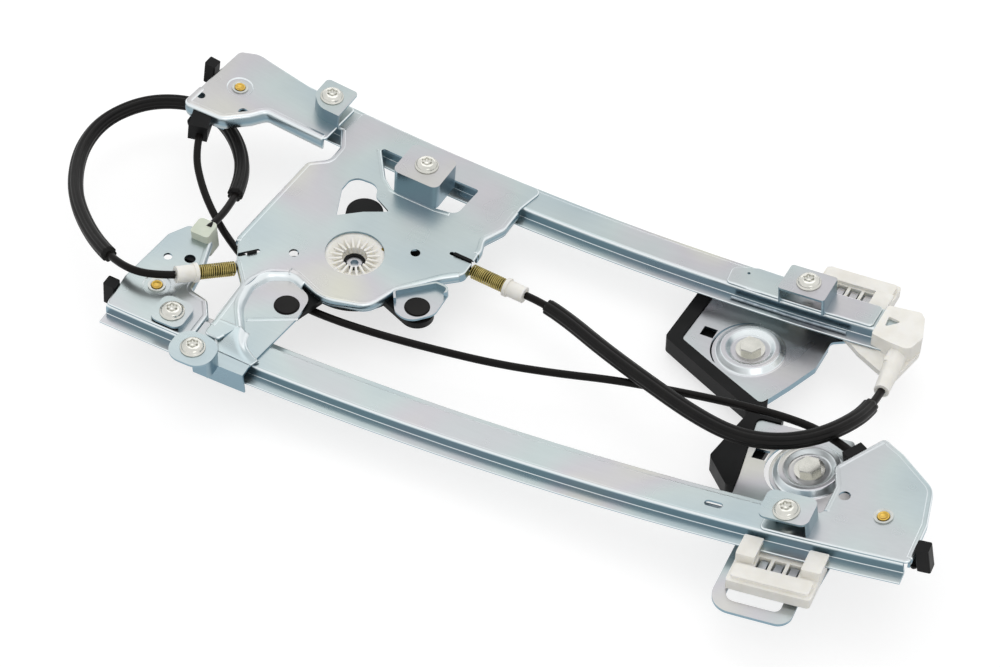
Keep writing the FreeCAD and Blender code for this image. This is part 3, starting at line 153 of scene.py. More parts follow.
@dataclass(frozen=True)
class Finish:
    """Plain surface with a fine bump; the base of every finish.

    Attributes:
        name: Material name.
        colour: Main sRGB hex colour.
        second: Colour that the main one drifts to.
        rough: Middle roughness.
        metal: Whether it is bare metal.
        patch_mm: Size of the colour patches.
        grain_mm: Size of the surface grain.
        bump: Height of the grain in millimetres.
        ior: Index of refraction of its skin.
        drift: Cloud values at which the drift to the second colour starts and ends.
        rough_drift: Lowest and highest roughness as shares of the middle one.
        rough_patch: Size of the roughness patches as a share of the colour patches.
    """

    name: str
    colour: str
    second: str
    rough: float = 0.5
    metal: bool = False
    patch_mm: float = 30.0
    grain_mm: float = 0.6
    bump: float = 0.02
    ior: float = 1.5
    drift: ClassVar[tuple[float, float]] = (0.35, 0.7)
    rough_drift: ClassVar[tuple[float, float]] = (0.82, 1.18)
    rough_patch: ClassVar[float] = 0.4

    def material(self) -> bpy.types.Material:
        """Make the material, once.

        Returns:
            The material.
        """
        found = bpy.data.materials.get(self.name)
        if found:
            return found
        made = bpy.data.materials.new(self.name)
        made.use_nodes = True
        tree = made.node_tree
        tree.nodes.clear()
        shader = add(tree, "ShaderNodeBsdfPrincipled", {"Metallic": float(self.metal), "IOR": self.ior})
        place = add(tree, "ShaderNodeTexCoord").outputs["Object"]
        self.dress(tree, shader, place)
        add(tree, "ShaderNodeOutputMaterial", links={"Surface": shader.outputs[0]})
        return made

    def noise(self, tree: bpy.types.NodeTree, place: bpy.types.NodeSocket, size_mm: float,
              detail: float = 3.0, stretch: tuple[float, float, float] = (1.0, 1.0, 1.0)
              ) -> bpy.types.NodeSocket:
        """Cloudy noise with patches of a real size.

        Args:
            tree: Node tree.
            place: Coordinates in metres.
            size_mm: Size of a patch.
            detail: How many finer layers it has.
            stretch: Factor on each axis.

        Returns:
            Socket with a value from 0 to 1.
        """
        mapped = add(tree, "ShaderNodeMapping", {"Scale": stretch}, {"Vector": place})
        node = add(tree, "ShaderNodeTexNoise", {"Scale": 1.0 / (size_mm * MM), "Detail": detail},
                   {"Vector": mapped.outputs[0]})
        return node.outputs["Fac"]

    def bumped(self, tree: bpy.types.NodeTree, shader: bpy.types.Node, height: bpy.types.NodeSocket,
               depth_mm: float) -> None:
        """Feed a bump of a real depth to the shader.

        Args:
            tree: Node tree.
            shader: Principled shader.
            height: Socket with the height from 0 to 1.
            depth_mm: Depth of the bump.
        """
        node = add(tree, "ShaderNodeBump", {"Strength": 1.0, "Distance": depth_mm * MM}, {"Height": height})
        tree.links.new(node.outputs[0], shader.inputs["Normal"])

    def dress(self, tree: bpy.types.NodeTree, shader: bpy.types.Node, place: bpy.types.NodeSocket) -> None:
        """Colour drift, roughness drift and grain.

        Args:
            tree: Node tree.
            shader: Principled shader.
            place: Coordinates in metres.
        """
        cloud = self.noise(tree, place, self.patch_mm)
        colour = ramp(tree, cloud, [(self.drift[0], self.colour), (self.drift[1], self.second)])
        tree.links.new(colour.outputs[0], shader.inputs["Base Color"])
        spread = self.noise(tree, place, self.patch_mm * self.rough_patch)
        smoothest, roughest = (self.rough * share for share in self.rough_drift)
        rough = add(tree, "ShaderNodeMapRange", {TO_LOW: smoothest, TO_HIGH: roughest}, {0: spread})
        tree.links.new(rough.outputs[0], shader.inputs["Roughness"])
        self.bumped(tree, shader, self.noise(tree, place, self.grain_mm, 2.0), self.bump)


@dataclass(frozen=True)
class ZincWithPaintedLight(Finish):
    """Blue passivated zinc: a satin grey that drifts to beige and pink, with painted highlights on bends and
    painted blue shade on steep walls.

    Attributes:
        beige: Warm cloud colour.
        pink: Rosy cloud colour.
        wall_painted_shade: Painted shade on upright walls: a dark blue that stands in for a dark reflection.
        flank_painted_shade: Painted shade on steep flanks, between the walls' shade and the bends' highlight.
        bend_painted_highlight: Painted highlight on rounded bends and rims.
        line_mm: Spacing of the rolling lines, coarser than real ones so that they show.
        haze_mm: Size of the roughness patches.
        clouds: Cloud values of the main, second, rosy and warm colours.
        painted_light_slopes: Upward share of the normal at the painted shade of walls, at that of flanks and at
            both ends of the painted highlight on bends.
        flats: Upward share of the normal from which the painted highlight on bends gives way to the flat
            colours.
    """

    beige: str = "C4C4BA"
    pink: str = "BBBABE"
    wall_painted_shade: str = "869FAC"
    flank_painted_shade: str = "A8B9BF"
    bend_painted_highlight: str = "E9EFF1"
    line_mm: float = 1.6
    haze_mm: float = 24.0
    clouds: ClassVar[tuple[float, ...]] = (0.30, 0.46, 0.58, 0.72)
    painted_light_slopes: ClassVar[tuple[float, ...]] = (0.0, 0.28, 0.55, 0.9)
    flats: ClassVar[tuple[float, float]] = (0.80, 0.965)
    rough_drift: ClassVar[tuple[float, float]] = (0.88, 1.12)

    def dress(self, tree: bpy.types.NodeTree, shader: bpy.types.Node, place: bpy.types.NodeSocket) -> None:
        """Soft clouds on the flats, a ramp over the slope that paints highlights on bends and shade on walls,
        and faint rolling lines.

        Args:
            tree: Node tree.
            shader: Principled shader.
            place: Coordinates in metres.
        """
        cloud = self.noise(tree, place, self.patch_mm, 1.0)
        flat = ramp(tree, cloud, list(zip(self.clouds, (self.colour, self.second, self.pink, self.beige))))
        lines = self.noise(tree, place, self.line_mm, 2.0, (0.04, 1.0, 1.0))
        shade = ramp(tree, lines, [(0.3, "FAFAFA"), (0.7, "FFFFFF")])
        rolled = add(tree, "ShaderNodeMix", {"data_type": "RGBA", "blend_type": "MULTIPLY", MIX_SHARE: 0.7},
                     {MIX_A: flat.outputs[0], MIX_B: shade.outputs[0]})
        # Painted light by slope: bends get a painted highlight and steep walls a painted blue shade; level
        # faces keep the clouds.
        normal = add(tree, "ShaderNodeNewGeometry").outputs["Normal"]
        rise = add(tree, "ShaderNodeSeparateXYZ", links={0: normal}).outputs["Z"]
        slope = add(tree, "ShaderNodeMath", {"operation": "ABSOLUTE"}, {0: rise}).outputs[0]
        side = ramp(tree, slope, list(zip(self.painted_light_slopes, (self.wall_painted_shade, self.flank_painted_shade, self.bend_painted_highlight, self.bend_painted_highlight))))
        level = add(tree, "ShaderNodeMapRange",
                    {"interpolation_type": "SMOOTHSTEP", FROM_LOW: self.flats[0], FROM_HIGH: self.flats[1]},
                    {0: slope})
        colour = add(tree, "ShaderNodeMix", {"data_type": "RGBA"},
                     {MIX_SHARE: level.outputs[0], MIX_A: side.outputs[0], MIX_B: rolled.outputs[MIX_OUT]})
        tree.links.new(colour.outputs[MIX_OUT], shader.inputs["Base Color"])
        spread = self.noise(tree, place, self.haze_mm, 1.0)
        smoothest, roughest = (self.rough * share for share in self.rough_drift)
        rough = add(tree, "ShaderNodeMapRange",
                    {FROM_LOW: 0.3, FROM_HIGH: 0.7, TO_LOW: smoothest, TO_HIGH: roughest}, {0: spread})
        tree.links.new(rough.outputs[0], shader.inputs["Roughness"])
        grain = self.noise(tree, place, self.grain_mm, 2.0, (0.3, 1.0, 1.0))
        self.bumped(tree, shader, grain, self.bump * 0.3)


@dataclass(frozen=True)
class Moulded(Finish):
    """Moulded plastic, rubber or nylon with a fine spark grain; pale nylon lets a little light in.

    Attributes:
        depth: Share of the light that enters the surface.
        reach_mm: How far that light spreads.
        tint: Spread of red, green and blue as shares of that reach.
    """

    depth: float = 0.0
    reach_mm: float = 1.5
    tint: ClassVar[tuple[float, float, float]] = (1.0, 0.95, 0.8)

    def dress(self, tree: bpy.types.NodeTree, shader: bpy.types.Node, place: bpy.types.NodeSocket) -> None:
        """Finish.dress with light that enters pale nylon a little.

        Args:
            tree: Node tree.
            shader: Principled shader.
            place: Coordinates in metres.
        """
        super().dress(tree, shader, place)
        if self.depth:
            shader.inputs["Subsurface Weight"].default_value = self.depth
            shader.inputs["Subsurface Radius"].default_value = self.tint
            shader.inputs["Subsurface Scale"].default_value = self.reach_mm * MM


# Zinc-plated pressed steel, passivated: a satin, cloudy blue-grey skin with soft reflections, plus painted
# highlights on bends and painted blue shade on steep walls.
ZINC = ZincWithPaintedLight("zinc_plate_with_painted_light", "ABB8BC", "B6C0C0", 0.30, True, 85.0, 0.9, 0.003)
# The same skin on a turned pivot, where it looks darker; it carries the same painted highlights on bends and
# painted shade on walls.
ZINC_DARK = ZincWithPaintedLight("zinc_edge_with_painted_light", "8E9AA4", "9AA5AD", 0.28, True, 60.0, 0.9, 0.003)
# Clear zinc on cold-headed screws and bolts: nearly white and the glossiest metal here.
BRIGHT = Finish("bright_zinc", "DAD9D2", "C9C9C2", 0.20, True, 8.0, 0.5, 0.003)
# Plated rivet steel, rolled over by the setting tool: a bright, slightly brushed grey.
RIVET_STEEL = Finish("rivet_steel", "C9CBC6", "B9BCBA", 0.26, True, 6.0, 0.5, 0.003)
# Drawn brass: a warm yellow that goes pale on its rolled mouth.
BRASS = Finish("brass_skin", "C4A046", "D8B764", 0.30, True, 4.0, 0.5, 0.005)
# Spark-grained black moulding: its low index keeps it dark under the soft lamps.
BLACK = Moulded("plastic_skin", "141515", "1C1C1D", 0.42, False, 20.0, 0.35, 0.012, 1.2)
# Extruded cable sheath: smooth black with a narrow highlight along it.
SHEATH = Moulded("black_sheath", "12100F", "191716", 0.32, False, 15.0, 0.8, 0.006, 1.2)
# Extruded or moulded rubber: a warm black, duller than the sheath.
RUBBER = Moulded("rubber_skin", "100F0F", "171615", 0.40, False, 15.0, 0.4, 0.012, 1.25)
# Natural nylon: warm white with soft, slightly lit edges.
NYLON = Moulded("nylon_skin", "F6F4EE", "EDEAE2", 0.34, False, 12.0, 0.5, 0.010, 1.5, 0.35)
# Tinted nylon of the grommet: pale with a green cast.
GREENISH = Moulded("greenish_skin", "CDD5C4", "DADFD0", 0.38, False, 8.0, 0.5, 0.010, 1.5, 0.3)
# Yellow passivated spring wire: a straw-coloured sheen on every coil.
SPRING = Finish("spring_skin", "B3A468", "96884F", 0.26, True, 5.0, 0.4, 0.004)
# Bright drawn rope wire: cool grey strands.
ROPE = Finish("rope_steel", "A9B4BC", "7F8A92", 0.30, True, 3.0, 0.3, 0.008)

NODE_FINISH = {
    ZINC: ("front_rail", "rear_rail", "front_top_bracket", "rear_top_bracket", "rear_bottom_bracket",
           "front_lower_bracket", "drum_plate", "front_carriage_plate", "rear_carriage_plate", "rear_loop"),
    ZINC_DARK: ("drum_pivot",),
    BRIGHT: ("mounting_screws", "front_glass_bolt", "rear_glass_bolt", "front_glass_nut", "rear_glass_nut"),
    BRASS: ("drum_nipple",),
    RIVET_STEEL: ("front_top_rivet", "rear_top_rivet", "rear_bottom_rivet"),
    BLACK: ("drum_housing", "drum_hub", "front_pulley_guard", "rear_top_pulley_guard",
            "rear_bottom_pulley_guard", "front_glass_holder", "rear_glass_holder", "front_top_pulley",
            "rear_top_pulley", "rear_bottom_pulley"),
    NYLON: ("cable_drum", "front_end_guide", "left_ferrule", "right_ferrule", "front_shoe", "rear_shoe",
            "front_rope_anchor", "rear_rope_anchor"),
    GREENISH: ("rear_grommet",),
    RUBBER: ("motor_bushes", "sleeve_a", "sleeve_c"),
    SHEATH: ("cable_a", "cable_b", "cable_c"),
    SPRING: ("left_spring", "right_spring"),
    ROPE: ("front_rope", "rear_rope", "left_rope", "right_rope"),
}

SOFT_EDGED = ("front_shoe", "rear_shoe", "front_end_guide", "front_glass_holder", "rear_glass_holder",
              "front_pulley_guard", "rear_top_pulley_guard", "rear_bottom_pulley_guard", "rear_grommet",
              "front_glass_bolt", "rear_glass_bolt", "drum_housing")


def dress_nodes() -> None:
    """Give every CAD node its finish, and the moulded pieces and glass bolts softened edges."""
    for finish, names in NODE_FINISH.items():
        for name in names:
            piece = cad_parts[name]
            piece.data.materials.clear()
            piece.data.materials.append(finish.material())
    for name in SOFT_EDGED:
        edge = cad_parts[name].modifiers.new("soft_edges", "BEVEL")
        edge.width = SOFT_EDGE * MM
        edge.segments = 2
        edge.limit_method = "ANGLE"
        edge.angle_limit = math.radians(SOFT_EDGE_FROM)


@dataclass(frozen=True)
class Rail:
    """Bowed rail: turns a station and a height above its web into a place.

    Attributes:
        low_x: Station of the bow's lowest point, in millimetres.
        base_z: Height of the web there.
        origin: Where its own frame stands in the part.
        splay_deg: Turn of its own frame about the vertical.
    """

    low_x: float
    base_z: float
    origin: tuple[float, float] = (0.0, 0.0)
    splay_deg: float = 0.0

    def web(self, run: float | np.ndarray) -> float | np.ndarray:
        """Height of the web at a distance from its lowest point: the bow's circle over that point."""
        return self.base_z + BOW_RADIUS - np.sqrt(BOW_RADIUS ** 2 - run ** 2)

    def seat(self, x: float, y: float, above: float) -> np.ndarray:
        """Frame that stands square on the web.

        Args:
            x: Station along the rail.
            y: Distance across it.
            above: Height above the web.

        Returns:
            Turn and place in millimetres, 4 by 4.
        """
        lean = -math.asin((x - self.low_x) / BOW_RADIUS)
        stand = np.eye(4)
        stand[:3, :3] = [[math.cos(lean), 0, math.sin(lean)], [0, 1, 0], [-math.sin(lean), 0, math.cos(lean)]]
        stand[:3, 3] = np.array([x, y, self.web(x - self.low_x)]) + stand[:3, :3] @ np.array([0, 0, above])
        turn = math.radians(self.splay_deg)
        carry = np.eye(4)
        carry[:2, :2] = [[math.cos(turn), -math.sin(turn)], [math.sin(turn), math.cos(turn)]]
        carry[:2, 3] = self.origin
        return carry @ stand

    def carried(self, flat: np.ndarray) -> np.ndarray:
        """Places in the part of places in the rail's own frame.

        Args:
            flat: Places (x, y) in the rail's frame.

        Returns:
            The same places turned by the splay and moved to the rail's origin.
        """
        turn = math.radians(self.splay_deg)
        spin = np.array([[math.cos(turn), math.sin(turn)], [-math.sin(turn), math.cos(turn)]])
        return flat @ spin + np.array(self.origin)

    def top(self, x: np.ndarray, y: np.ndarray) -> np.ndarray:
        """Height of a sheet's top that lies on the web's level: the web's height and the sheet.

        Args:
            x: Places in the part.
            y: Places in the part.

        Returns:
            Heights in millimetres.
        """
        turn = math.radians(self.splay_deg)
        run = (x - self.origin[0]) * math.cos(turn) + (y - self.origin[1]) * math.sin(turn) - self.low_x
        return self.web(run) + SHEET


FRONT_RAIL = Rail(FRONT_LOW_X, -SHEET - (BOW_RADIUS - math.sqrt(BOW_RADIUS ** 2 - FRONT_LOW_X ** 2)))
REAR_RAIL = Rail(0.0, -7.0, (78.6, -104.4), 3.3)


def put_mesh(name: str, points: np.ndarray, faces: np.ndarray, finish: Finish,
             body: str) -> bpy.types.Object:
    """Put a smooth-shaded surface into the scene as a piece.

    Args:
        name: Piece name.
        points: Corner positions in metres, by 3, in any number of rows.
        faces: Corner numbers of the quads, m by 4.
        finish: Its finish.
        body: CAD body that it rides on.

    Returns:
        The new object.
    """
    mesh = bpy.data.meshes.new(name)
    mesh.from_pydata(points.reshape(-1, 3).tolist(), [], faces.tolist())
    mesh.polygons.foreach_set("use_smooth", [True] * len(mesh.polygons))
    mesh.materials.append(finish.material())
    mesh.validate()
    piece = bpy.data.objects.new(name, mesh)
    bpy.context.scene.collection.objects.link(piece)
    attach(piece, body)
    log.info("%s: %d faces", name, len(faces))
    return piece


def even_angles(count: int) -> np.ndarray:
    """Angles at equal steps once round, in radians from zero."""
    return np.linspace(0, 2 * np.pi, count, endpoint=False)


def tangents(path: np.ndarray) -> np.ndarray:
    """Direction of a path at each point: the difference of its neighbours, at unit length."""
    ahead = np.gradient(path, axis=0)
    return ahead / np.linalg.norm(ahead, axis=1)[:, None]


def way_along(line: np.ndarray) -> np.ndarray:
    """Way from the first point of a line to each point: the sum of the steps before it."""
    return np.concatenate([[0.0], np.cumsum(np.linalg.norm(np.diff(line, axis=0), axis=1))])


def resampled(line: np.ndarray, way: np.ndarray, marks: np.ndarray) -> np.ndarray:
    """Points of a line at the marked ways along it, straight between its own points."""
    return np.stack([np.interp(marks, way, line[:, axis]) for axis in range(line.shape[1])], axis=1)


def grid_faces(rows: int, columns: int) -> np.ndarray:
    """Quads over a grid of corners, row by row; each row closes on itself.

    Args:
        rows: Number of rows.
        columns: Number of corners in a row.

    Returns:
        Corner numbers, m by 4.
    """
    across = np.arange(columns)
    up = np.arange(rows - 1)
    a = up[:, None] * columns + across[None, :]
    b = up[:, None] * columns + (across[None, :] + 1) % columns
    return np.stack([a, b, b + columns, a + columns], axis=-1).reshape(-1, 4)


def closed(rings: np.ndarray, first: np.ndarray, last: np.ndarray) -> np.ndarray:
    """Close a tube's ends: a ring of no size comes before its first ring and after its last.

    Args:
        rings: Corner positions, rings by corners by 3.
        first: Place of the first end's middle.
        last: Place of the last end's middle.

    Returns:
        Corner positions with two more rings.
    """
    start, end = (np.tile(middle, (1, rings.shape[1], 1)) for middle in (first, last))
    return np.concatenate([start, rings, end])


def carried_ring(path: np.ndarray, section: np.ndarray) -> tuple[np.ndarray, np.ndarray]:
    """Extrusion along a path: a section given by its radius at even angles stands square at every station.

    Args:
        path: Stations in metres, n by 3.
        section: Radius at each angle in metres.

    Returns:
        Corner positions and quads, the ends closed.
    """
    ahead = tangents(path)
    side = np.cross(ahead, np.array([0.0, 0.0, 1.0]))
    side /= np.linalg.norm(side, axis=1)[:, None]
    up = np.cross(side, ahead)
    turn = even_angles(len(section))
    ring = (side[:, None, :] * (section * np.cos(turn))[None, :, None]
            + up[:, None, :] * (section * np.sin(turn))[None, :, None])
    points = closed(path[:, None, :] + ring, path[0], path[-1])
    return points, grid_faces(len(points), len(section))[:, ::-1]


def turned(profile: list[tuple[float, float]], sides: int, lobes: int = 0, wave: float = 0.0,
           waved_from: int = 0) -> tuple[np.ndarray, np.ndarray]:
    """Turned shape: a corner lies at its ring's radius, times 1 + wave * cos(lobes * angle) in a recess.

    Args:
        profile: Radius and height of each ring in millimetres, bottom to top; it starts and ends at a tip.
        sides: Corners in a ring.
        lobes: Number of waves round a recess.
        wave: Share of the radius by which the recess waves.
        waved_from: First ring that waves.

    Returns:
        Corner positions in millimetres and quads.
    """
    rings = np.array(profile)
    angle = even_angles(sides)
    share = np.where(np.arange(len(rings)) >= waved_from, wave, 0.0)
    radius = rings[:, :1] * (1 + share[:, None] * np.cos(lobes * angle)[None, :])
    points = np.stack([radius * np.cos(angle), radius * np.sin(angle),
                       np.repeat(rings[:, 1:2], sides, axis=1)], axis=-1)
    return points.reshape(-1, 3), grid_faces(len(rings), sides)


def stood(shapes: list[np.ndarray], faces: np.ndarray,
          seats: list[np.ndarray]) -> tuple[np.ndarray, np.ndarray]:
    """One mesh from shapes with the same quads, each stood on its seat.

    Args:
        shapes: Corners of each shape in millimetres.
        faces: Quads that they share.
        seats: Turn and place of each shape.

    Returns:
        Corners in metres and quads.
    """
    placed = [(shape @ seat[:3, :3].T + seat[:3, 3]) * MM for shape, seat in zip(shapes, seats)]
    numbered = [faces + index * len(shapes[0]) for index in range(len(shapes))]
    return np.concatenate(placed), np.concatenate(numbered)


@dataclass
class MountingScrews:
    """The six flanged screws with six-lobed recesses.

    Attributes:
        seats: Rail, station, distance across and height of each seat, with the shank's length.
        head: Radius and height of the rings of flange, domed head and recess.
        shank_radius: Radius of the shank.
        point: Radius and length of the bevel at the shank's end.
        sides: Corners in a ring.
        lobes: Lobes of the recess.
        wave: Share of the radius by which the recess waves.
        recess_ring: First ring of the recess, counted from the shank's end.
    """

    seats: list[tuple[Rail, float, float, float, float]]
    head: tuple[tuple[float, float], ...] = (
        (3.0, 0.02), (7.7, 0.02), (7.85, 0.25), (7.85, 0.7), (7.5, 1.0), (7.0, 1.1), (6.85, 1.6), (6.5, 2.4),
        (5.9, 3.1), (5.0, 3.7), (4.1, 4.0), (3.6, 4.05), (3.3, 3.95), (3.1, 3.5), (3.0, 1.9), (TIP, 1.7))
    shank_radius: float = 3.0
    point: tuple[float, float] = (2.5, 0.6)
    sides: int = 48
    lobes: int = 6
    wave: float = 0.11
    recess_ring: int = 15

    def build(self) -> None:
        """Turned profile of shank, flange, domed head and lobed recess, stood on each seat."""
        end_radius, bevel = self.point
        shapes = []
        for *_, shank in self.seats:
            profile = [(TIP, -shank), (end_radius, -shank), (self.shank_radius, bevel - shank), *self.head]
            points, faces = turned(profile, self.sides, self.lobes, self.wave, self.recess_ring)
            shapes.append(points)
        seats = [rail.seat(x, y, above) for rail, x, y, above, _ in self.seats]
        points, faces = stood(shapes, faces, seats)
        piece = put_mesh("mounting_screws_lobed", points, faces, BRIGHT, "frame")
        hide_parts("mounting_screws")


@dataclass
class Eyelets:
    """Brass linings of the three pulley rivets.

    Attributes:
        seats: Rail, station, distance across and height of each rivet's head.
        cup: Radius and height of the rings of the lining and its rolled mouth.
        sides: Corners in a ring.
    """

    seats: list[tuple[Rail, float, float, float]]
    cup: tuple[tuple[float, float], ...] = (
        (TIP, -1.6), (1.9, -1.5), (2.15, 0.2), (2.4, 0.85), (2.8, 1.06), (3.2, 1.08), (3.5, 0.98), (3.45, 0.7),
        (TIP, 0.6))
    sides: int = 40

    def build(self) -> None:
        """Turned cup that lines each rivet's bore and rolls over its mouth."""
        points, faces = turned(list(self.cup), self.sides)
        seats = [rail.seat(x, y, above) for rail, x, y, above in self.seats]
        points, faces = stood([points] * len(seats), faces, seats)
        piece = put_mesh("rivet_eyelets", points, faces, BRASS, "frame")


@dataclass
class LaidRope:
    """Stretch of stranded rope that shows in the groove beside the front rail's web.

    Attributes:
        rail: Rail that it follows.
        across: Distance across the rail.
        above: Height of its middle above the web.
        start: First station.
        end: Last station.
        radius: Middle radius.
        crown: How far a strand stands out from it.
        strands: Number of strands.
        lay: Way in which a strand goes once round.
        step: Spacing of the rings.
        sides: Corners in a ring.
    """

    rail: Rail
    across: float
    above: float
    start: float
    end: float
    radius: float = 1.0
    crown: float = 0.16
    strands: int = 6
    lay: float = 9.0
    step: float = 0.6
    sides: int = 24

    def build(self) -> None:
        """Tube on the bow: radius = middle radius + crown * cos(strands * (angle - 2 pi way / lay))."""
        stations = np.arange(self.start, self.end, self.step)
        run = stations - self.rail.low_x
        lean = -np.arcsin(run / BOW_RADIUS)
        height = self.rail.web(run) + self.above
        middle = np.stack([stations, np.full_like(stations, self.across), height], axis=1)
        angle = even_angles(self.sides)
        twist = angle[None, :] - 2 * np.pi * stations[:, None] / self.lay
        radius = self.radius + self.crown * np.cos(self.strands * twist)
        up = np.stack([np.sin(lean), np.zeros_like(lean), np.cos(lean)], axis=1)
        rings = (middle[:, None, :] + (radius * np.cos(angle))[:, :, None] * np.array([0.0, 1.0, 0.0])
                 + (radius * np.sin(angle))[:, :, None] * up[:, None, :])
        points = closed(rings, middle[0], middle[-1])
        faces = grid_faces(len(points), self.sides)
        piece = put_mesh("front_rail_rope", points * MM, faces, ROPE, "frame")


def rounded_line(corners: list[tuple[float, float, float]]) -> np.ndarray:
    """Open line through corners (x, y, radius) with tangent arcs, resampled at even steps.

    Each arc turns its radius from one tangent point to the other at an even rate.

    Args:
        corners: Corners in millimetres; the first and the last are its ends.

    Returns:
        Points, n by 2.
    """
    spots = np.array([corner[:2] for corner in corners], float)
    pieces = [spots[:1]]
    for index in range(1, len(corners) - 1):
        here = spots[index]
        before = (spots[index - 1] - here) / np.linalg.norm(spots[index - 1] - here)
        after = (spots[index + 1] - here) / np.linalg.norm(spots[index + 1] - here)
        half = math.acos(float(np.clip(before @ after, -1, 1))) / 2
        radius = corners[index][2]
        reach = radius / math.tan(half)
        share = np.linspace(0, 1, ARC_POINTS)[:, None]
        middle = here + (before + after) / np.linalg.norm(before + after) * (radius / math.sin(half))
        first = here + before * reach - middle
        last = here + after * reach - middle
        swing = math.pi - 2 * half
        spoke = (np.sin((1 - share) * swing) * first + np.sin(share * swing) * last) / math.sin(swing)
        pieces.append(middle + spoke)
    pieces.append(spots[-1:])
    line = np.concatenate(pieces)
    way = way_along(line)
    return resampled(line, way, np.linspace(0, way[-1], max(int(way[-1] / RIM_STEP), 2)))


@dataclass
class RolledRim:
    """Bead where a pressed sheet's edge rolls over, or the cove or crease pressed into it.

    Attributes:
        name: Piece name.
        corners: Corners (x, y, radius) of the edge in the rail's own frame, the sheet on its left.
        section: Closed section: distance outwards from the edge and height over the sheet's top.
        rail: Rail whose level the sheet keeps.
    """

    name: str
    corners: list[tuple[float, float, float]]
    section: list[tuple[float, float]]
    rail: Rail = FRONT_RAIL

    def build(self) -> None:
        """Sweep the section square along the edge; each point's height follows the web's bow there."""
        line = rounded_line(self.corners)
        ahead = tangents(line)
        outward = np.stack([ahead[:, 1], -ahead[:, 0]], axis=1)
        section = np.array(self.section)
        flat = self.rail.carried(line[:, None, :] + outward[:, None, :] * section[None, :, :1])
        height = self.rail.top(flat[..., 0], flat[..., 1]) + section[None, :, 1]
        rings = np.concatenate([flat, height[..., None]], axis=2)
        points = closed(rings, rings[0].mean(axis=0), rings[-1].mean(axis=0))
        faces = grid_faces(len(points), len(section))
        piece = put_mesh(self.name, points * MM, faces, ZINC, "frame")


@dataclass
class LegRamp:
    """Sheet that leads from the leg's end down to the near rail's level, with a cove on its right side.

    Attributes:
        left: Start and end of its left side, in millimetres.
        right: Start, pull point and end of its right side.
        rows: Rows of corners from the leg down.
        columns: Corners across the sheet.
        far_lift: Height over the leg's level at its start.
        near_lift: Height over the near rail's level at its end.
        cove: Distance out from the right side and share of the fall of each line of the cove.
        cove_lift: Height of the cove's foot over the near level.
        thick: Thickness of its edge.
    """

    left: tuple[tuple[float, float], tuple[float, float]]
    right: tuple[tuple[float, float], tuple[float, float], tuple[float, float]]
    rows: int = 25
    columns: int = 7
    far_lift: float = 0.12
    near_lift: float = 0.25
    cove: tuple[tuple[float, float], ...] = ((1.2, 0.10), (2.4, 0.34), (3.4, 0.66), (4.6, 0.90), (6.0, 1.0))
    cove_lift: float = 0.05
    thick: float = 0.6

    def build(self) -> None:
        """Rows run from a straight left side to a quadratic right one; the height eases as 3 t^2 - 2 t^3."""
        share = np.linspace(0, 1, self.rows)[:, None]
        start, end = np.array(self.left)
        begin, pull, finish = np.array(self.right)
        left = start + share * (end - start)
        right = (1 - share) ** 2 * begin + 2 * share * (1 - share) * pull + share ** 2 * finish
        eased = share ** 2 * (3 - 2 * share)
        across = np.linspace(0, 1, self.columns)[None, :, None]
        flat = left[:, None, :] * (1 - across) + right[:, None, :] * across
        far = FRONT_RAIL.top(flat[..., 0], flat[..., 1])
        near = REAR_RAIL.top(flat[..., 0], flat[..., 1])
        height = (far + self.far_lift) * (1 - eased) + (near + self.near_lift) * eased
        sheet = np.concatenate([flat, height[..., None]], axis=2)
        ahead = tangents(right)
        outward = np.stack([-ahead[:, 1], ahead[:, 0]], axis=1)
        cove = []
        for reach, fall in self.cove:
            spot = right + outward * reach
            low = REAR_RAIL.top(spot[:, 0], spot[:, 1]) + self.cove_lift
            cove.append(np.column_stack([spot, height[:, -1] * (1 - fall) + low * fall]))
        under = cove[-1] - [0, 0, self.thick]
        corner = np.column_stack([left, near[:, 0] - self.thick])
        rings = np.concatenate([sheet, np.stack(cove + [under, corner], axis=1)], axis=1)
        points = closed(rings, rings[0].mean(axis=0), rings[-1].mean(axis=0))
        faces = grid_faces(len(points), rings.shape[1])[:, ::-1]
        piece = put_mesh("leg_ramp", points * MM, faces, ZINC, "frame")


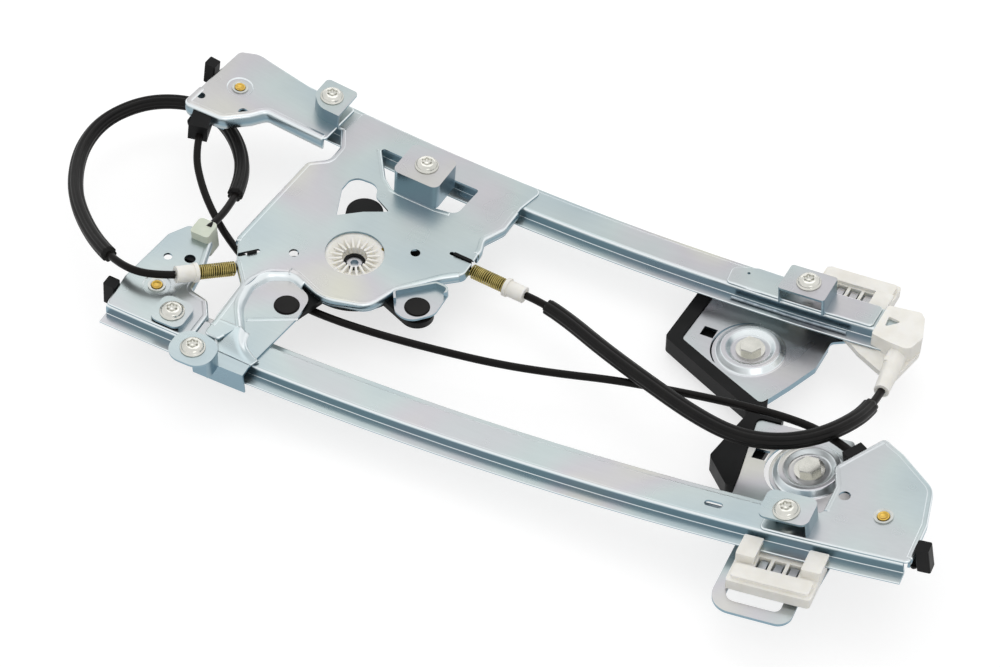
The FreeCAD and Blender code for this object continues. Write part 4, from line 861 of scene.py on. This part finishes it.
@dataclass
class Cable:
    """Sheathed cable between two fixed ends, with an optional ribbed sleeve.

    Attributes:
        name: Piece name.
        node: CAD node that it stands for.
        route_mm: Route points in millimetres.
        radius_mm: Radius of the sheath.
        sleeve: First and last share of the length under the sleeve, or None.
        sleeve_node: CAD node of the sleeve.
        sleeve_mm: Radius of the sleeve between its ribs.
        rib_mm: Height of a rib.
        ribs: Number of ribs.
        rib_shape: Power that rounds a rib; under 1 it is fuller.
        sleeve_step_mm: Spacing of the sleeve's rings.
        sleeve_sides: Corners in a ring of the sleeve.
    """

    name: str
    node: str
    route_mm: list[tuple[float, float, float]]
    radius_mm: float = 2.5
    sleeve: tuple[float, float] | None = None
    sleeve_node: str = ""
    sleeve_mm: float = 4.35
    rib_mm: float = 0.85
    ribs: int = 8
    rib_shape: float = 0.7
    sleeve_step_mm: float = 2.0
    sleeve_sides: int = 64

    def build(self) -> None:
        curve = bpy.data.curves.new(self.name, "CURVE")
        curve.dimensions = "3D"
        curve.resolution_u = 12
        spline = curve.splines.new("NURBS")
        spline.points.add(len(self.route_mm) - 1)
        for point, place in zip(spline.points, self.route_mm):
            point.co = (place[0] * MM, place[1] * MM, place[2] * MM, 1.0)
        spline.order_u = 3
        spline.use_endpoint_u = True
        piece = bpy.data.objects.new(self.name, curve)
        bpy.context.scene.collection.objects.link(piece)
        line = self.line(piece)
        curve.bevel_depth = self.radius_mm * MM
        curve.bevel_resolution = 6
        curve.use_fill_caps = True
        curve.materials.append(SHEATH.material())
        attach(piece, "frame")
        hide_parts(self.node)
        if self.sleeve:
            self.sleeve_piece(line)

    def line(self, piece: bpy.types.Object) -> np.ndarray:
        """Read the smooth line of the bare curve.

        Args:
            piece: Curve object with no bevel yet.

        Returns:
            Points along it in metres.
        """
        mesh = bpy.data.meshes.new_from_object(piece)
        flat = np.empty(len(mesh.vertices) * 3)
        mesh.vertices.foreach_get("co", flat)
        bpy.data.meshes.remove(mesh)
        return flat.reshape(-1, 3)

    def sleeve_piece(self, line: np.ndarray) -> bpy.types.Object:
        """Extruded sleeve: radius = sleeve + rib * |sin(half the ribs * angle)| ^ shape, so ribs run along it.

        Args:
            line: Points along the cable.

        Returns:
            The sleeve.
        """
        way = way_along(line)
        start, end = self.sleeve[0] * way[-1], self.sleeve[1] * way[-1]
        marks = np.linspace(start, end, int((end - start) / (self.sleeve_step_mm * MM)))
        crest = np.abs(np.sin(self.ribs / 2 * even_angles(self.sleeve_sides))) ** self.rib_shape
        section = (self.sleeve_mm + self.rib_mm * crest) * MM
        points, faces = carried_ring(resampled(line, way, marks), section)
        piece = put_mesh(self.sleeve_node + "_ribbed", points, faces, RUBBER, "frame")
        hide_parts(self.sleeve_node)
        return piece


@dataclass
class TakeUpSpring:
    """Coil spring between a housing arm and a cable's ferrule, with the dark liner inside it.

    Attributes:
        node: CAD node that it stands for.
        start_mm: Centre of its first coil.
        aim: Direction of its axis.
        length_mm: Free length between its ends.
        coil_mm: Radius to the wire's centre.
        wire_mm: Wire radius.
        turns: Number of turns.
        liner_mm: Radius of the liner.
        ease: Share of the length by which the pitch sways, twice along the spring.
        turn_steps: Rings of the wire in a turn.
        wire_sides: Corners in a ring of the wire.
        liner_sides: Corners in a ring of the liner.
    """

    node: str
    start_mm: tuple[float, float, float]
    aim: tuple[float, float, float]
    length_mm: float = 25.0
    coil_mm: float = 4.25
    wire_mm: float = 0.55
    turns: float = 17.5
    liner_mm: float = 3.1
    ease: float = 0.012
    turn_steps: int = 28
    wire_sides: int = 9
    liner_sides: int = 24

    def build(self) -> None:
        """Find the spring's axis and build its coil and its liner on it."""
        aim = np.array(self.aim) / np.linalg.norm(self.aim)
        side = np.cross(aim, [0.0, 0.0, 1.0])
        side /= np.linalg.norm(side)
        axes = (aim, side, np.cross(side, aim))
        self.coil(axes)
        self.liner(axes)

    def coil(self, axes: tuple[np.ndarray, np.ndarray, np.ndarray]) -> None:
        """Helix: the wire's centre goes round at the coil radius and advances by t + ease * sin(4 pi t).

        Args:
            axes: Direction of the axis, a level one square to it and one square to both.
        """
        aim, side, up = axes
        share = np.linspace(0, 1, int(self.turns * self.turn_steps))
        angle = share * self.turns * 2 * np.pi
        eased = share + self.ease * np.sin(share * 2 * np.pi * 2)
        reach = (self.wire_mm + eased * (self.length_mm - 2 * self.wire_mm)) * MM
        centre = (np.array(self.start_mm) * MM)[None, :] + reach[:, None] * aim[None, :]
        radial = np.cos(angle)[:, None] * side + np.sin(angle)[:, None] * up
        middle = centre + self.coil_mm * MM * radial
        turn = even_angles(self.wire_sides)
        wire = self.wire_mm * MM
        rings = (middle[:, None, :] + wire * np.cos(turn)[None, :, None] * radial[:, None, :]
                 + wire * np.sin(turn)[None, :, None] * aim[None, None, :])
        points = closed(rings, middle[0], middle[-1])
        faces = grid_faces(len(points), self.wire_sides)
        piece = put_mesh(self.node + "_coil", points, faces, SPRING, "frame")
        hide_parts(self.node)

    def liner(self, axes: tuple[np.ndarray, np.ndarray, np.ndarray]) -> None:
        """Plain round rod as long as the spring: each corner lies at the liner's radius from the axis.

        Args:
            axes: Direction of the axis, a level one square to it and one square to both.
        """
        aim, side, up = axes
        stations = np.array([0.0, 0.0, self.length_mm, self.length_mm])[:, None, None] * MM
        spread = np.array([0.0, 1.0, 1.0, 0.0])[:, None, None] * self.liner_mm * MM
        ring = even_angles(self.liner_sides)[None, :, None]
        core = (np.array(self.start_mm) * MM + stations * aim
                + spread * (np.cos(ring) * side + np.sin(ring) * up))
        faces = grid_faces(len(core), self.liner_sides)[:, ::-1]
        liner = put_mesh(self.node + "_liner", core, faces, SHEATH, "frame")


@dataclass
class Studio:
    """Floor, lamps, surroundings and camera.

    Attributes:
        camera_mm: Camera position.
        right: Camera's right.
        up: Camera's up.
        ahead: Camera's view direction.
        focal_px: Focal length in pixels of the photograph.
        photo_px: Width of the photograph in pixels.
        sensor_mm: Width of the camera's sensor.
        floor_gap_mm: Gap between the part and the floor.
        floor_reach_m: Half the floor's side.
        floor_grey: Floor's own brightness, which keeps the shadow.
        floor_glow: Brightness added where the floor is seen.
        world_light: Level at which the surroundings light the part.
        lamp_aim: Place in metres that every lamp points at.
        lamps_set: Name, place, size and power of each lamp, in metres and watts.
    """

    camera_mm: tuple[float, float, float]
    right: tuple[float, float, float]
    up: tuple[float, float, float]
    ahead: tuple[float, float, float]
    focal_px: float = 2410.0
    photo_px: float = 1000.0
    sensor_mm: float = 36.0
    floor_gap_mm: float = 0.5
    floor_reach_m: float = 6.0
    floor_grey: float = 0.45
    floor_glow: float = 0.66
    world_light: float = 0.80
    lamp_aim: tuple[float, float, float] = (0.11, 0.0, 0.0)
    lamps_set: tuple[tuple[str, tuple[float, float, float], tuple[float, float], float], ...] = (
        ("over", (0.0, 0.5, 1.5), (1.4, 1.0), 3.2),
        ("far_strip", (-0.5, 1.5, 0.7), (1.8, 0.25), 1.8),
        ("near_strip", (1.2, -1.1, 0.9), (0.9, 0.3), 1.4))

    def build(self) -> None:
        """Set the camera, the floor, the lamps and the world."""
        data = bpy.data.cameras.new("photo_camera")
        data.sensor_width = self.sensor_mm
        data.lens = self.focal_px / self.photo_px * self.sensor_mm
        data.clip_start = 0.05
        camera = bpy.data.objects.new("photo_camera", data)
        turn = Matrix((self.right, self.up, [-part for part in self.ahead])).transposed()
        camera.matrix_world = Matrix.Translation(Vector(self.camera_mm) * MM) @ turn.to_4x4()
        bpy.context.scene.collection.objects.link(camera)
        bpy.context.scene.camera = camera
        bpy.context.scene.view_settings.view_transform = "Standard"
        self.floor()
        self.lamps()
        self.world()

    def floor(self) -> None:
        """Pale floor just under the part, white to the camera, keeping its shadow."""
        low = CAD_BOX[0][2] - self.floor_gap_mm * MM
        reach = self.floor_reach_m
        corners = [(-reach, -reach, low), (reach, -reach, low), (reach, reach, low), (-reach, reach, low)]
        mesh = bpy.data.meshes.new("floor")
        mesh.from_pydata(corners, [], [(0, 1, 2, 3)])
        made = bpy.data.materials.new("floor_white")
        made.use_nodes = True
        tree = made.node_tree
        tree.nodes.clear()
        matt = add(tree, "ShaderNodeBsdfDiffuse", {"Color": (self.floor_grey,) * 3 + (1.0,)})
        level = add(tree, "ShaderNodeMath", {"operation": "MULTIPLY", 1: self.floor_glow}, {0: seen_bare(tree)})
        glow = add(tree, "ShaderNodeEmission", {"Color": WHITE}, {"Strength": level.outputs[0]})
        both = add(tree, "ShaderNodeAddShader", links={0: matt.outputs[0], 1: glow.outputs[0]})
        add(tree, "ShaderNodeOutputMaterial", links={"Surface": both.outputs[0]})
        mesh.materials.append(made)
        piece = bpy.data.objects.new("floor", mesh)
        bpy.context.scene.collection.objects.link(piece)

    def lamps(self) -> None:
        """Large soft lamps: overhead, a long strip from the far side and a weak one from the near side."""
        for name, place, size, power in self.lamps_set:
            data = bpy.data.lights.new(name, "AREA")
            data.shape = "RECTANGLE"
            data.size, data.size_y = size
            data.energy = power
            lamp = bpy.data.objects.new(name, data)
            aim = Vector(self.lamp_aim) - Vector(place)
            lamp.matrix_world = Matrix.Translation(place) @ aim.to_track_quat("-Z", "Y").to_matrix().to_4x4()
            bpy.context.scene.collection.objects.link(lamp)

    def world(self) -> None:
        """White surroundings for the camera and for reflections, a softer level for light."""
        world = bpy.data.worlds.new("studio")
        bpy.context.scene.world = world
        world.use_nodes = True
        tree = world.node_tree
        tree.nodes.clear()
        level = add(tree, "ShaderNodeMapRange", {TO_LOW: self.world_light, TO_HIGH: 1.0}, {0: seen_bare(tree)})
        glow = add(tree, "ShaderNodeBackground", {"Color": WHITE}, {"Strength": level.outputs[0]})
        add(tree, "ShaderNodeOutputWorld", links={"Surface": glow.outputs[0]})


CABLES = [
    Cable("cable_a_sheath", "cable_a", [
        (-81.9, -79.5, 12.1), (-93.2, -88, 14.1), (-109.5, -90.6, 14.3), (-131, -83, 10.5), (-158, -66, 4),
        (-185, -43, -1), (-204, -18, -5), (-217, 9, -8), (-219, 35, -8), (-209, 58, -8), (-193, 72, -8),
        (-171, 79, -8), (-148, 73, -8), (-126, 58, -7), (-108, 37, -5), (-97, 12, -2), (-92, -8, 2),
        (-90, -22, 5.5), (-89.4, -31, 7)], 2.5, (0.12, 0.90), "sleeve_a"),
    Cable("cable_b_sheath", "cable_b", [
        (-143.5, 41, 8), (-137, 25, 5), (-120, 6, 0), (-100, -10, -5), (-78, -22, -12), (-50, -34, -16),
        (-19.5, -43.5, -15.4), (11, -45.5, -13.7), (43, -43.5, -12.7), (77.5, -39, -12.1),
        (119.5, -31.5, -11.7), (155.5, -21.5, -11), (190.5, -10, -9.9), (230, -3.5, -6), (266, -1, 0),
        (298, -1, 5.5), (325, -5, 10), (343, -13, 12)]),
    Cable("cable_c_sheath", "cable_c", [
        (106.5, 31.2, -14.7), (120, 29, -13), (144, 20, -10), (174, 5, -5), (213, -12, 1.5),
        (252, -28.5, 9), (281.5, -36.5, 15), (305, -32, 18), (323.5, -17.5, 18), (335, 6, 13),
        (338.5, 31, 3.5), (338, 49.9, -0.4)], 2.5, (0.06, 0.94), "sleeve_c"),
]

SPRINGS = [
    TakeUpSpring("left_spring", (-57.9, -49.6, 2.6), (-0.607, -0.757, 0.24)),
    TakeUpSpring("right_spring", (66.6, 32.4, -12.6), (0.997, -0.03, -0.06)),
]

SCREWS = MountingScrews([
    (FRONT_RAIL, -80.0, 103.0, 12.4, 9.0), (FRONT_RAIL, 8.0, 76.0, 20.0, 9.0),
    (REAR_RAIL, -119.0, -14.0, 14.0, 9.0), (REAR_RAIL, -149.0, 12.0, 5.0, 4.6),
    (FRONT_RAIL, 268.0, 102.0, 13.0, 9.0), (REAR_RAIL, 256.0, 9.0, 12.0, 9.0)])
EYELETS = Eyelets([(FRONT_RAIL, -139.0, 84.0, 0.8), (REAR_RAIL, -170.0, 29.0, 0.8),
                   (REAR_RAIL, 305.0, 29.0, 1.5)])
GROOVE_ROPE = LaidRope(FRONT_RAIL, 88.2, -6.2, 222.0, 300.0)

# Sections of the rims, each from the sheet outwards and back underneath.
BEAD = [(-3.2, -0.2), (-2.9, 0.02), (-2.2, 0.22), (-1.3, 0.30), (-0.4, 0.12), (0.3, -0.5), (0.65, -1.5),
        (0.7, -3.2), (0.6, -5.0), (0.2, -5.4), (-0.6, -5.2), (-1.6, -2.0)]
COVE = [(-2.6, -0.2), (-2.2, 0.06), (-1.2, 0.25), (0.2, -0.1), (1.6, -1.3), (2.8, -3.0), (3.6, -4.9),
        (4.6, -6.3), (5.6, -7.2), (5.4, -8.0), (1.0, -8.0), (-1.6, -3.0)]
FLANGE_BEAD = [(-4.2, -0.2), (-3.6, 0.08), (-2.6, 0.4), (-1.4, 0.5), (-0.2, 0.15), (0.7, -0.9), (1.1, -2.4),
               (1.3, -5.0), (1.2, -8.6), (0.5, -9.0), (-0.6, -8.6), (-1.8, -2.0)]
LOW_BEAD = [(-3.2, -0.2), (-2.9, 0.02), (-2.2, 0.22), (-1.3, 0.30), (-0.4, 0.12), (0.3, -0.4), (0.5, -1.0),
            (0.2, -1.45), (-1.6, -1.3)]
CREASE = [(-1.7, -0.1), (-0.9, 0.25), (0.0, 0.4), (0.9, 0.25), (1.7, -0.1), (0.0, -0.6)]

RIMS = [
    RolledRim("plate_left_rim", [
        (-64, 90, 5), (-56, 76, 6), (-56, 62, 8), (-67, 52, 6), (-69, -28, 5), (-68.2, -31, 5)], BEAD),
    RolledRim("plate_leg_rim", [(-59, -46, 8), (-46, -60, 8), (-44, -92, 4), (-44, -98, 4)], BEAD),
    RolledRim("plate_seat_rim", [
        (-26, -34.6, 8), (-24, -34, 10), (2, -43, 24), (30, -34, 14), (37, -14, 6), (58, 11, 8),
        (66, 18, 6)], BEAD),
    RolledRim("plate_right_rim", [(67, 40, 6), (67, 44, 6), (64, 53, 6), (71, 68, 8), (71, 86, 5)], BEAD),
    RolledRim("tongue_cove", [
        (-28, -91, 4), (-40, -75, 26), (-44, -56, 16), (-38, -42, 13), (-24, -34, 12), (-14, -37.5, 8)], COVE),
    RolledRim("window_rim", [(34, 63, 2), (24, 61.5, 6), (-9, 61.5, 4), (-18, 68, 8), (-33, 88.5, 2)], BEAD),
    RolledRim("front_top_flange", [
        (-160, 68, 3), (-161, 50, 4), (-133, 53, 8), (-120, 66, 8), (-113, 76, 6), (-70, 76, 3)], FLANGE_BEAD),
    RolledRim("rear_top_rim", [
        (-130, 6, 3), (-130, 22, 3), (-137, 33, 3), (-150, 36, 4), (-153, 56, 3), (-160, 80, 4),
        (-172, 82.5, 4)], BEAD, REAR_RAIL),
    RolledRim("rear_bottom_rim", [
        (329, 4, 3), (329, 30, 6), (324, 57, 14), (300, 78, 6), (289, 85.1, 4)], BEAD, REAR_RAIL),
    RolledRim("rear_bottom_low_rim", [
        (290, 84.5, 3), (286, 87, 2), (266, 58, 5), (272, 44, 8), (272, 24, 4)], LOW_BEAD, REAR_RAIL),
    RolledRim("tongue_crease", [(-107.4, 30.4, 1), (-92.5, 38.8, 30), (-79.4, 46.0, 1)], CREASE, REAR_RAIL),
]
LEG_RAMP = LegRamp(((-44.0, -92.0), (-34.0, -111.0)), ((-28.0, -90.0), (-26.0, -105.0), (-7.0, -110.5)))

# The camera that was solved from the photograph.
STUDIO = Studio((602.98, -903.20, 1078.18), (0.877820, 0.478970, -0.004372),
                (-0.346683, 0.641620, 0.684204), (-0.330519, 0.599092, -0.729278))


def main() -> None:
    """Build the whole scene."""
    dress_nodes()
    for cable in CABLES:
        cable.build()
    for spring in SPRINGS:
        spring.build()
    SCREWS.build()
    EYELETS.build()
    GROOVE_ROPE.build()
    for rim in RIMS:
        rim.build()
    LEG_RAMP.build()
    STUDIO.build()


if __name__ == "__main__":
    main()
